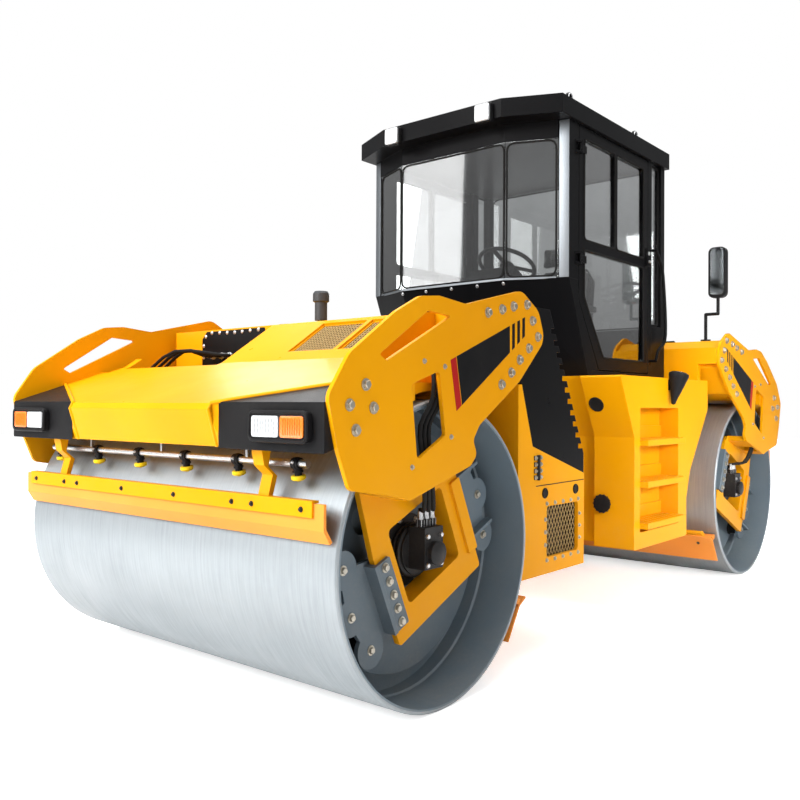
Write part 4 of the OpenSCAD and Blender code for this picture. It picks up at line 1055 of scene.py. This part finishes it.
def makeHoseFittings(end):
    h = hoseEnds
    lower, upper = [], []
    for side in sides:
        lower += [(atEnd(end, side * h["portX"], y, h["portZ"]), upward) for y in h["places"]]
        if end == "front" and side < 0:
            upper += [(atEnd(end, x, h["bayY"], h["bayZ"]), forward) for x in h["bayX"]]
        else:
            upper += onSide(end, side, h["wallX"], [(y, h["wallZ"]) for y in h["wallY"]])
    growParts(end + "MotorFittings", lower, h["nut"], "brightSteel", frameOf[end])
    growParts(end + "HoodFittings", upper, h["crimp"], "brightSteel", frameOf[end])


motorDetail = {
    "ringX": (878, 902), "ring": [(0.102, 0), (0.112, 0.003), (0.112, 0.012), (0.102, 0.016)],
    "capX": 1030.2, "cap": [(0.046, 0), (0.05, 0.002), (0.05, 0.008), (0.036, 0.014), (0.0, 0.015)],
    "screwX": 1013.2, "screws": [(-44, 70), (44, 70), (-44, -46), (44, -46)],
    "screw": [(0.011, 0), (0.011, 0.006), (0.009, 0.009), (0, 0.0092)],
}


def makeMotorDetail(end):
    m = motorDetail
    shape = Shape(end + "MotorDetail")
    for side in sides:
        rows = [(x, [(0, 0)], "ring", "motorBlack", 36) for x in m["ringX"]]
        rows.append((m["capX"], [(0, 0)], "cap", "motorBlack", 28))
        rows.append((m["screwX"], m["screws"], "screw", "brightSteel", 6))
        for x, points, profile, look, count in rows:
            for place, out in onSide(end, side, x, points):
                shape.lathe(place, out, m[profile], look, count)
    shape.done(frameOf[end])


for end in ends:
    makeHoseFittings(end)
    makeMotorDetail(end)
print("hose fittings and motor detail built")

# cab: seals round the glass, bright strips on the front posts and sill, rivets under the screen
cab = {
    "half": 0.740, "cornerX": 0.668, "cornerY": -0.225, "screenY": -0.370, "screenHalf": 0.392,
    "sill": 1.965, "glassTop": 2.7747, "eaves": 2.880, "postWidth": 0.060,
    "rearY": 1.135, "rearLow": 1.770, "quarter": (0.93, 1.066),
    "rivetX": (-0.389, -0.198, 0.001, 0.194, 0.380), "rivetLine": (-0.3606, 1.945),
    "rivetLean": (0, -0.896, -0.445),
}
sealWire = (0.006, 8)


def makeCabSeals():
    c = cab
    h, y, z0, z1 = c["screenHalf"], c["screenY"], c["sill"] + 0.014, c["glassTop"] - 0.008
    low, high = c["rearLow"] + 0.01, c["eaves"] - 0.012
    loops = [roundedPath([(x, y, z) for x, z in corners(0.004 - h, h - 0.004, z0, z1)], 0.05)]
    for side in sides:
        a, b = (side * (h + 0.012), y + 0.004), (side * c["cornerX"], c["cornerY"] - 0.024)
        loops.append(roundedPath([(*p, z) for p, z in corners(a, b, z0, z1)], 0.05))
        x = side * (c["half"] - 0.02)
        loops.append(roundedPath([(x, p, z) for p, z in corners(*c["quarter"], low, high)], 0.03))
    x, y = c["half"] - c["postWidth"] - 0.008, c["rearY"] - 0.02
    loops.append(roundedPath([(p, y, z) for p, z in corners(-x, x, low, high)], 0.06))
    growWires("cabSeals", loops, sealWire, "rubber", "rear_frame", True)


doorLights = {"front": -0.044, "rear": 0.789, "split": 0.011, "top": 2.809, "beltTop": 2.210, "beltLow": 2.150,
              "low": 1.521, "heelY": 0.205, "knee": 1.870, "face": 0.740, "round": 0.03}
doorLock = {"plate": (0.80, 0.842, 2.150, 2.290), "plateDepth": 0.003, "face": 0.025, "y": 0.821,
            "barrels": [(2.245, [(0.013, 0), (0.013, 0.004), (0.011, 0.006), (0, 0.006)]),
                        (2.190, [(0.009, 0), (0.009, 0.009), (0.007, 0.011), (0, 0.0115)])]}


def makeDoorSeals(name, side):
    d, k = doorLights, doorLock
    x = side * d["face"]
    mid = (d["front"] + d["rear"]) / 2
    lights = [corners(a, b, d["top"], d["beltTop"])
              for a, b in ((d["front"], mid - d["split"]), (mid + d["split"], d["rear"]))]
    lights.append([(d["front"], d["beltLow"]), (d["rear"], d["beltLow"]), (d["rear"], d["low"]),
                   (d["heelY"], d["low"]), (d["front"], d["knee"])])
    loops = [roundedPath([(x, y, z) for y, z in light], d["round"]) for light in lights]
    growWires(name + "Seals", loops, sealWire, "rubber", name, True)
    shape = Shape(name + "Lock")
    for z, profile in k["barrels"]:
        shape.lathe((x + side * k["face"], k["y"], z), (side, 0, 0), profile, "brightSteel", 20)
    plate = [(x, y, z) for y, z in corners(*k["plate"])]
    shape.prism(plate, (side * k["plateDepth"], 0, 0), "blackPlastic", 0.001)
    shape.done(name)


def makeCabTrim():
    shape = Shape("postStrips")
    c = cab
    for side in sides:
        a = Vector((side * (c["half"] - c["postWidth"] + 0.004), c["cornerY"] - 0.0172, c["sill"] + 0.003))
        b = Vector((side * (c["half"] - 0.001), c["cornerY"] - 0.0006, c["sill"] + 0.003))
        out = upward.cross(b - a).normalized() * 0.004
        out = out if out.y < 0 else -out
        shape.prism([a, b, b + out, a + out], (0, 0, c["eaves"] - c["sill"] - 0.006), "satinAlloy", 0.0012, 2)
    x, y, cornerY, z = c["screenHalf"], c["screenY"] - 0.0075, c["cornerY"] - 0.028, c["sill"] - 0.004
    turns = (-c["cornerX"], cornerY), (-x, y), (x, y), (c["cornerX"], cornerY)
    sill = [Vector((*p, z)) for p in turns]
    back = Vector((0, 0.007, 0))
    for a, b in zip(sill, sill[1:]):
        shape.prism([a, b, b + back, a + back], (0, 0, 0.013), "satinAlloy", 0.001, 1)
    shape.done("rear_frame")
    spots = [(Vector((x, *c["rivetLine"])), Vector(c["rivetLean"])) for x in c["rivetX"]]
    setBolts("screenRivets", "rivet", spots, "brightSteel", "rear_frame")


makeCabSeals()
makeDoorSeals("left_door", 1)
makeDoorSeals("right_door", -1)
makeCabTrim()
print("cab seals and trim built")

# tread studs on the steps, every other row shifted by half a pitch
tread = {"x": (0.935, 1.072), "y": (0.100, 0.615), "tops": (0.549, 0.789, 1.029), "pitch": (0.0342, 0.0343),
         "stud": stack((0.0125, 0.0105, 0.003, 10), (0.0085, 0.0075, 0.0015, 8), (0.003, 0.002, 0.0005, 6))}


def makeTreads():
    (x0, x1), (y0, y1), (px, py) = tread["x"], tread["y"], tread["pitch"]
    rows = []
    for i in range(int((x1 - x0) / px) + 1):
        shift = 0.5 if i % 2 else 0.0
        row = [y0 + (k + shift) * py for k in range(int((y1 - y0) / py) + 1)]
        rows += [(x0 + i * px, y) for y in row if y <= y1]
    spots = [(Vector((side * x, y, z)), upward) for side in sides for z in tread["tops"] for x, y in rows]
    growParts("stepStuds", spots, tread["stud"], "yellowPaint", "rear_frame")


makeTreads()

# driver's seat: pads blown up as cloth, with sewn grooves, on a moulded base
seatPads = {
    "seatCushion": dict(centre=(0, 0.788, 1.806), size=(0.468, 0.405, 0.092), tilt=0.0),
    "seatBack": dict(centre=(0, 0.984, 2.052), size=(0.452, 0.062, 0.318), tilt=7.0),
    "seatHeadRest": dict(centre=(0, 1.018, 2.328), size=(0.292, 0.052, 0.142), tilt=7.0),
}
padCloth = {"round": 0.34, "longest": 0.06, "voxel": 0.006, "pressure": 4.0, "stiffness": 25, "frames": 20,
            "cap": 0.022}
padSeam = {"depth": 0.007, "side": 0.52, "sideWidth": 0.045, "across": (-0.45, 0.0, 0.45), "acrossWidth": 0.035,
           "faceStart": 0.4}


def stuffPad(piece):
    scene = bpy.context.scene
    c = padCloth
    remesh = piece.modifiers.new("even", "REMESH")
    remesh.mode, remesh.voxel_size = "VOXEL", c["voxel"]
    piece.data = evaluated(piece)
    piece.modifiers.clear()
    start = [v.co.copy() for v in piece.data.vertices]
    cloth = piece.modifiers.new("stuffing", "CLOTH")
    cloth.settings.use_pressure = True
    cloth.settings.uniform_pressure_force = c["pressure"]
    cloth.settings.effector_weights.gravity = 0
    cloth.settings.tension_stiffness = cloth.settings.compression_stiffness = c["stiffness"]
    cloth.collision_settings.use_collision = False
    cloth.point_cache.frame_start, cloth.point_cache.frame_end = 1, c["frames"]
    for f in range(1, c["frames"] + 1):
        scene.frame_set(f)
    swollen = evaluated(piece)
    piece.modifiers.clear()
    scene.frame_set(1)
    for v, home in zip(swollen.vertices, start):
        step = v.co - home
        if step.length > c["cap"]:
            v.co = home + step.normalized() * c["cap"]
    piece.data = swollen


def sewPad(piece, size):
    # two long grooves and three short ones between them, in the face the driver leans on
    s = padSeam
    half = Vector(size) / 2
    flat = size[2] < size[1]
    for v in piece.data.vertices:
        x, y, z = (v.co[k] / half[k] for k in range(3))
        deep, along = (z, y) if flat else (-y, z)
        if deep > s["faceStart"]:
            seam = math.exp(-((abs(x) - s["side"]) / s["sideWidth"]) ** 2)
            if abs(x) < 0.5:
                seam = max([seam] + [math.exp(-((along - k) / s["acrossWidth"]) ** 2) for k in s["across"]])
            v.co -= Vector((0, 0, s["depth"] * seam)) if flat else Vector((0, -s["depth"] * seam, 0))


def makePad(name, pad):
    bm = bmesh.new()
    bmesh.ops.create_cube(bm, size=1.0)
    bmesh.ops.scale(bm, vec=pad["size"], verts=bm.verts)
    bmesh.ops.bevel(bm, geom=bm.edges[:], offset=min(pad["size"]) * padCloth["round"], segments=4, profile=0.5,
                    affect="EDGES")
    longEdges = [e for e in bm.edges if e.calc_length() > padCloth["longest"]]
    bmesh.ops.subdivide_edges(bm, edges=longEdges, cuts=4, use_grid_fill=True)
    mesh = bpy.data.meshes.new(name)
    bm.to_mesh(mesh)
    bm.free()
    piece = linked(name, mesh)
    stuffPad(piece)
    sewPad(piece, pad["size"])
    turn = Matrix.Translation(pad["centre"]) @ Matrix.Rotation(math.radians(-pad["tilt"]), 4, "X")
    piece.data.transform(turn)
    smooth = piece.modifiers.new("smooth", "SUBSURF")
    smooth.levels = smooth.render_levels = 1
    piece.data.polygons.foreach_set("use_smooth", [True] * len(piece.data.polygons))
    piece.data.materials.clear()
    piece.data.materials.append(finish["seatFabric"])
    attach(piece, "rear_frame")
    return piece


seatBase = {
    "plate": ((-0.215, 0.595, 1.441), (0.215, 0.955, 1.462)),
    "pan": ((-0.235, 0.583, 1.714), (0.235, 1.0, 1.752)),
    "folds": 7, "foldHalf": (0.135, 0.15), "foldDepth": 0.93, "foldHeight": 0.036, "foldPlace": (0.79, 1.462),
    "tilt": -7, "foot": (0, 1.012, 1.78), "shellDepth": 0.03,
    "shell": [(-0.235, 0.0), (0.235, 0.0), (0.235, 0.36), (0.17, 0.46), (-0.17, 0.46), (-0.235, 0.36)],
    "postX": (-0.075, 0.075), "postZ": (0.42, 0.50), "rod": 0.007,
    "armRest": ((0.253, 0.692, 1.888), (0.308, 0.975, 1.938)),
    "armPost": ((0.240, 0.872, 1.76), (0.285, 0.925, 1.892)),
    "leverX": 0.281, "lever": [(0.735, 1.955), (0.728, 2.0), (0.716, 2.045)],
    "boot": (0.735, 1.936), "knob": (0.718, 2.035), "knobLean": (0, -0.25, 1),
    "bootProfile": [(0.024, 0), (0.022, 0.012), (0.013, 0.03), (0.0, 0.03)],
    "knobProfile": [(0.01, 0), (0.022, 0.012), (0.025, 0.034), (0.018, 0.054), (0, 0.06)],
}


def makeSeatBase():
    b = seatBase
    shape = Shape("seatBase")
    shape.box(*b["plate"], "blackPlastic", 0.006)
    y, z = b["foldPlace"]
    for k in range(b["folds"]):
        w, h = b["foldHalf"][k % 2], b["foldHeight"]
        d = w * b["foldDepth"]
        shape.box((-w, y - d, z + k * h), (w, y + d, z + (k + 1) * h), "rubber", 0.012)
    shape.box(*b["pan"], "blackPlastic", 0.014)
    tilt = Matrix.Rotation(math.radians(b["tilt"]), 3, "X")

    def onBack(x, y, z):
        return Vector(b["foot"]) + tilt @ Vector((x, y, z))

    shell = [onBack(x, 0, z) for x, z in b["shell"]]
    shape.prism(shell, tilt @ Vector((0, b["shellDepth"], 0)), "blackPlastic", 0.01)
    for x in b["postX"]:
        shape.tube([onBack(x, 0.012, z) for z in b["postZ"]], b["rod"], "brightSteel", 10)
    for side in sides:
        shape.sideBox(side, *b["armRest"], "blackVinyl", 0.018)
        shape.sideBox(side, *b["armPost"], "blackPlastic", 0.008)
        x = side * b["leverX"]
        shape.lathe((x, *b["boot"]), upward, b["bootProfile"], "rubber", 20)
        shape.tube([(x, *p) for p in b["lever"]], b["rod"], "brightSteel", 10)
        shape.lathe((x, *b["knob"]), b["knobLean"], b["knobProfile"], "blackPlastic", 20)
    return shape.done("rear_frame")


pads = [makePad(name, pad) for name, pad in seatPads.items()]
for pad in pads + [makeSeatBase()]:
    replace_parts(pad, "seat")
print("seat built")

# instrument panel on the console's slope
panel = {"foot": (0, 0.270, 2.0405), "head": (0, 0.1003, 2.1302), "half": 0.155, "span": (0.02, 0.175),
         "thick": 0.008, "dials": [(-0.09, 0.028), (0.0, 0.036), (0.09, 0.028)], "dialRow": 0.115,
         "switches": 6, "switchRow": 0.052, "switchX": (-0.125, 0.05), "switchHalf": (0.014, 0.018),
         "switchDepth": 0.007}


def makeInstruments():
    p = panel
    shape = Shape("instrumentPanel")
    a, b = Vector(p["foot"]), Vector(p["head"])
    along = (b - a).normalized()
    up = Vector((1, 0, 0)).cross(b - a).normalized()
    up = up if up.z > 0 else -up

    def onPanel(x, s, n):
        return a + Vector((x, 0, 0)) + along * s + up * n

    plate = [onPanel(x, s, 0) for x, s in corners(-p["half"], p["half"], *p["span"])]
    shape.prism(plate, up * p["thick"], "blackPlastic", 0.003)
    for x, r in p["dials"]:
        spot = onPanel(x, p["dialRow"], p["thick"])
        bezel = [(r, 0), (r, 0.006), (r - 0.004, 0.009), (r - 0.006, 0.004), (0, 0.004)]
        shape.lathe(spot, up, bezel, "brightSteel", 32)
        shape.lathe(spot + up * 0.0042, up, [(r - 0.006, 0), (r - 0.006, 0.0006), (0, 0.0006)], "dialFace", 32)
        needle = [onPanel(x + dx, p["dialRow"] + s, p["thick"] + 0.0052)
                  for dx, s in ((-0.001, 0), (0.001, 0), (0.012, r - 0.01))]
        shape.prism(needle, up * 0.0006, "redVinyl")
    (start, step), (w, h) = p["switchX"], p["switchHalf"]
    for k in range(p["switches"]):
        x = start + step * k
        key = corners(x - w, x + w, p["switchRow"] - h, p["switchRow"] + h)
        shape.prism([onPanel(*c, p["thick"]) for c in key], up * p["switchDepth"],
                    "redVinyl" if k == p["switches"] - 1 else "blackVinyl", 0.003)
    shape.done("rear_frame")


makeInstruments()

# mirror glass in a thin rim, on the side that looks back to the cab, its silvering coloured dark as a painted
# dark reflection; a layer has its inset, corner radius, start, depth, look and edge
mirrorFace = {"x": 1.045, "y": 1.307, "half": 0.060, "low": 1.985, "high": 2.335,
              "layers": [(0.008, 0.03, 0.001, 0.004, "blackPlastic", (0.001, 2)),
                         (0.014, 0.026, -0.003, 0.0016, "mirrorSilver", (0.0004, 1))]}


def makeMirrorGlass():
    m = mirrorFace
    shape = Shape("mirrorFaces")
    for side in sides:
        x = side * m["x"]
        for inset, r, start, depth, look, edge in m["layers"]:
            outline = roundedRect(x - m["half"], x + m["half"], m["low"], m["high"], r, inset)
            shape.prism([(px, m["y"] + start, pz) for px, pz in outline], (0, -depth, 0), look, *edge)
    shape.done("rear_frame")


makeMirrorGlass()

# handles and seams on the hood roofs
hoodFittings = {
    "roof": ((195, 1010), (560, 1055)),
    "handleX": {"front": (), "rear": (-620, 620)}, "handleS": 190, "handleWire": 0.008,
    "handle": [(-70, 0), (-70, 26), (-58, 40), (58, 40), (70, 26), (70, 0)], "footX": (-70, 70),
    "foot": [(0.02, 0), (0.02, 0.004), (0.012, 0.007), (0, 0.007)],
    "seamX": (-150, 705), "seamHalf": 3.5, "seamSpan": (12, 355), "seamDepth": 0.0012,
}


def makeHoodFittings(end):
    h = hoodFittings
    shape = Shape(end + "HoodFittingsTop")

    def onRoof(x, s, n):
        return atEnd(end, x, *upSlope(*h["roof"], s, n))

    for x in h["handleX"][end]:
        path = [onRoof(x + dx, h["handleS"], n) for dx, n in h["handle"]]
        shape.tube(path, h["handleWire"], "blackPaint", 10)
        for dx in h["footX"]:
            shape.lathe(onRoof(x + dx, h["handleS"], 0.2), upward, h["foot"], "blackPaint", 20)
    for x in h["seamX"]:
        seam = corners(x - h["seamHalf"], x + h["seamHalf"], *h["seamSpan"])
        shape.prism([onRoof(*p, 0.2) for p in seam], (0, 0, h["seamDepth"]), "blackVinyl")
    shape.done(frameOf[end])


for end in ends:
    makeHoodFittings(end)

# louvres in the slope of the rear hood, with a dark strip of painted shadow in the slot under each blade
louvre = {"x": (-585, 215), "width": 370, "count": 9, "start": 70.0, "pitch": 31.0, "wire": (0.009, 10),
          "margin": 26, "bladeInset": 14, "slotInset": 18, "slotStart": -13, "slotWidth": 7}


def makeLouvres():
    v = louvre
    normal = turnEnd("rear", slopeNormal)

    def rearSlope(x, s, n):
        return turnEnd("rear", onSlope(x, s, n))

    blades = []
    shape = Shape("louvreFrames")
    rows = [v["start"] + k * v["pitch"] for k in range(v["count"])]
    for x0 in v["x"]:
        x1 = x0 + v["width"]
        blades += [[rearSlope(x, s, 2) for x in (x0 + v["bladeInset"], x1 - v["bladeInset"])] for s in rows]
        plate = corners(x0, x1, rows[0] - v["margin"], rows[-1] + v["margin"])
        shape.prism([rearSlope(*p, 0.2) for p in plate], normal * 2, "yellowPaint", 0.0006, 1)
        for row in rows:
            s = row + v["slotStart"]
            slot = corners(x0 + v["slotInset"], x1 - v["slotInset"], s, s + v["slotWidth"])
            # dark strip under the blade: painted shadow in the slot
            shape.prism([rearSlope(*p, 2.3) for p in slot], normal * 0.8, "darkMesh")
    shape.done("rear_frame")
    growWires("louvres", blades, v["wire"], "yellowPaint", "rear_frame")


makeLouvres()

# seams and latches of the engine cover, on its flat top and on its slope, in shares of the slope from its head
coverSeams = {"y": (680, 895), "top": 1075.3, "x": (-420, 420), "half": 4,
              "head": (900, 1075), "foot": (1304, 250), "latchX": (-640, 640), "latchHalf": 26,
              "latchSpan": (0.16, 0.24), "latchDepth": 0.012,
              "lever": [(0.225, 0.013), (0.20, 0.02), (0.17, 0.021)], "leverWire": 0.006,
              "crossSeams": (0.10, 0.55, 0.9), "crossHalf": 960, "crossWidth": 0.007}


def makeCoverSeams():
    c = coverSeams
    shape = Shape("engineCoverSeams")
    for x in c["x"]:
        seam = corners(x - c["half"], x + c["half"], *c["y"])
        shape.prism([atEnd("front", *p, c["top"]) for p in seam], (0, 0, 0.0015), "blackVinyl")
    (y0, z0), (y1, z1) = c["head"], c["foot"]
    size = math.hypot(y1 - y0, z1 - z0)
    normal = Vector((0, (z0 - z1) / size, (y1 - y0) / size))

    def onCover(x, t, n):
        return atEnd("front", x, y0 + (y1 - y0) * t, z0 + (z1 - z0) * t) + normal * n

    for x in c["latchX"]:
        block = corners(x - c["latchHalf"], x + c["latchHalf"], *c["latchSpan"])
        shape.prism([onCover(*p, 0.0004) for p in block], normal * c["latchDepth"], "blackPlastic", 0.003)
        shape.tube([onCover(x, t, n) for t, n in c["lever"]], c["leverWire"], "brightSteel", 10)
    for t in c["crossSeams"]:
        strip = corners(-c["crossHalf"], c["crossHalf"], t, t + c["crossWidth"])
        shape.prism([onCover(*p, 0.0004) for p in strip], normal * 0.0022, "blackVinyl")
    shape.done("front_frame")


makeCoverSeams()

# rolled lip of the nose panel round each lamp pod, up its edge and back along the deck
noseLip = {"x": 503.0, "outer": 1090.0, "low": (-700, 438), "brow": (-744, 580), "top": (-728, 604),
           "tail": -444.0, "steps": 8, "radius": 0.0085}


def makeNoseLips(end):
    n = noseLip
    shape = Shape(end + "NoseLips")
    (ly, lz), (by, bz), (ty, tz) = n["low"], n["brow"], n["top"]
    deckY, deckZ = noseSlope[0]
    rise = (deckZ - tz) / (deckY - ty)
    path = [(n["x"], ly + 3, lz), (n["x"], by + 3, bz), (n["x"], ty + 1, tz + 1)]
    for k in range(1, n["steps"] + 1):
        t = k / n["steps"]
        y = ty + (n["tail"] - ty) * t
        path.append((n["x"] + (n["outer"] - n["x"]) * t, y, tz + (y - ty) * rise + 2))
    for side in sides:
        shape.tube([atEnd(end, side * x, y, z) for x, y, z in path], n["radius"], "yellowPaint", 10)
    shape.done(frameOf[end])


for end in ends:
    makeNoseLips(end)

# seam, hinge, catches and screws of the engine doors
doorSeam = {
    "face": 1000.0, "seam": [(822, 209), (1304, 213), (1304, 217.5), (822, 213.5)], "screws": 14.0,
    "hinge": (835, 240, 362), "hingeOff": 8, "hingeWire": 0.008,
    "leaves": 4, "leafInset": 14, "leafHalf": (34, 11), "leafDepth": 0.005, "leafScrews": (-24, 24),
    "catch": [(1215, 172), (905, 172)],
    "catchRing": [(0.026, 0), (0.026, 0.004), (0.022, 0.007), (0.018, 0.003), (0, 0.003)],
}


def makeDoorDetail():
    d = doorSeam
    shape = Shape("engineDoorDetail")
    spots = []
    y0, z0, y1, z1 = grille["window"]
    y, low, high = d["hinge"]
    (w, t), inset, e = d["leafHalf"], d["leafInset"], d["screws"]
    border = [(y0 + (y1 - y0) * k / 4, h) for k in range(5) for h in (z0 - e, z1 + e)]
    border += [(p, z0 + (z1 - z0) * k / 4) for k in range(1, 4) for p in (y0 - e, y1 + e)]
    for side in sides:
        def onDoor(off, points):
            return onSide("front", side, d["face"] + off, points)

        out = Vector((side, 0, 0))
        shape.prism([p for p, _ in onDoor(0.1, d["seam"])], out * 0.0012, "blackVinyl")
        rod = [p for p, _ in onDoor(d["hingeOff"], ((y, low), (y, high)))]
        shape.tube(rod, d["hingeWire"], "motorBlack", 12)
        for k in range(d["leaves"]):
            h = low + inset + (high - low - 2 * inset) * k / (d["leaves"] - 1)
            leaf = [p for p, _ in onDoor(0.2, corners(y - w, y + w, h - t, h + t))]
            shape.prism(leaf, out * d["leafDepth"], "motorBlack", 0.001, 1)
            spots += onDoor(5.2, [(y + dy, h) for dy in d["leafScrews"]])
        for place, way in onDoor(0.2, d["catch"]):
            shape.lathe(place, way, d["catchRing"], "blackPlastic", 24)
        spots += onDoor(0.1, border)
    shape.done("front_frame")
    setBolts("doorScrews", "small", spots, "zincSteel", "front_frame")


makeDoorDetail()

# drain cap with its knurls, and the round cover on the tank's leaning front
tankFittings = {
    "capX": 0.8463, "capY": -0.0105, "capZ": 0.655, "capRadius": 0.052, "knurls": 14, "knurlY": -0.0135,
    "knurl": (0.004, 0.013),
    "cap": [(0.0465, 0), (0.052, 0.002), (0.052, 0.014), (0.047, 0.0165), (0.02, 0.018), (0.0, 0.018)],
    "leanLow": 1.046, "leanHigh": 1.400, "leanY": -0.005, "leanRun": 0.185, "coverX": 0.852, "coverZ": 1.235,
    "cover": [(0.046, 0), (0.046, 0.003), (0.04, 0.006), (0.034, 0.002), (0, 0.002)],
}


def makeTankFittings():
    f = tankFittings
    shape = Shape("tankFittings")
    rise = f["leanHigh"] - f["leanLow"]
    coverY = f["leanY"] - (f["coverZ"] - f["leanLow"]) / rise * f["leanRun"]
    coverOut = Vector((0, -rise, -f["leanRun"])).normalized()
    wire, length = f["knurl"]
    for side in sides:
        x = side * f["capX"]
        shape.lathe((x, f["capY"], f["capZ"]), forward, f["cap"], "blackPlastic", 28)
        for c, s in circle(f["knurls"]):
            p = Vector((x + f["capRadius"] * c, f["knurlY"], f["capZ"] + f["capRadius"] * s))
            shape.tube([p, p + forward * length], wire, "blackPlastic", 6)
        place = Vector((side * f["coverX"], coverY, f["coverZ"])) + coverOut * 0.0003
        shape.lathe(place, coverOut, f["cover"], "rubber", 28)
    shape.done("rear_frame")


makeTankFittings()

# bright wire rings welded round the roof's lifting eyes
eyeRings = {"x": 0.707, "y": (-0.175, 0.715), "z": 3.021, "offset": 0.0105, "radius": 0.0215, "wire": 0.0045,
            "steps": 24, "sharp": 60}


def makeEyeRings():
    e = eyeRings
    r = e["radius"]
    shape = Shape("roofEyeRings")
    for side in sides:
        for y in e["y"]:
            for face in sides:
                x = side * e["x"] + face * e["offset"]
                ring = [(x, y + r * c, e["z"] + r * s) for c, s in circle(e["steps"])]
                shape.tube(ring, e["wire"], "brightSteel", 8, True)
    shape.done("rear_frame", e["sharp"])


makeEyeRings()

# step lamp in a funnel shade, hung outside the tank's upper edge; its profiles have shares of the radius,
# and the cone has shares of the length too
funnelLamp = {
    "x": 1.092, "y": 0.520, "top": 1.425, "length": 0.195, "radius": 0.060, "lean": (-0.12, -0.20, -1),
    "collar": [(0.0, -0.004), (0.9, -0.004), (1, 0.0), (1, 0.014), (0.93, 0.03)],
    "cone": [(0.62, 0.5), (0.3, 0.84), (0.2, 0.97), (0.0, 1)], "lens": [(0.86, 0), (0.8, 0.004), (0.0, 0.007)],
    "wallX": 1.0405, "shelfEnd": 0.55, "shelfY": (0.485, 0.54), "shelfZ": (1.352, 1.362),
    "plateX": 1.046, "plateY": (0.475, 0.55), "plateZ": (1.325, 1.390),
}


def makeFunnelLamps():
    f = funnelLamp
    shape = Shape("stepLamps")
    r = f["radius"]
    body = [(r * a, h) for a, h in f["collar"]] + [(r * a, f["length"] * h) for a, h in f["cone"]]
    lens = [(r * a, h) for a, h in f["lens"]]
    shelf = zip((f["wallX"], f["x"] - r * f["shelfEnd"]), f["shelfY"], f["shelfZ"])
    plate = zip((f["wallX"], f["plateX"]), f["plateY"], f["plateZ"])
    brackets = [tuple(shelf), tuple(plate)]
    for side in sides:
        top = Vector((side * f["x"], f["y"], f["top"]))
        aim = Vector((side * f["lean"][0], *f["lean"][1:])).normalized()
        shape.lathe(top, aim, body, "blackPlastic", 28)
        shape.lathe(top - aim * 0.004, -aim, lens, "clearLens", 28)
        for low, high in brackets:
            shape.sideBox(side, low, high, "blackPaint", 0.002)
    shape.done("rear_frame")


makeFunnelLamps()
print("mirrors, hood, tank and lamp fittings built")
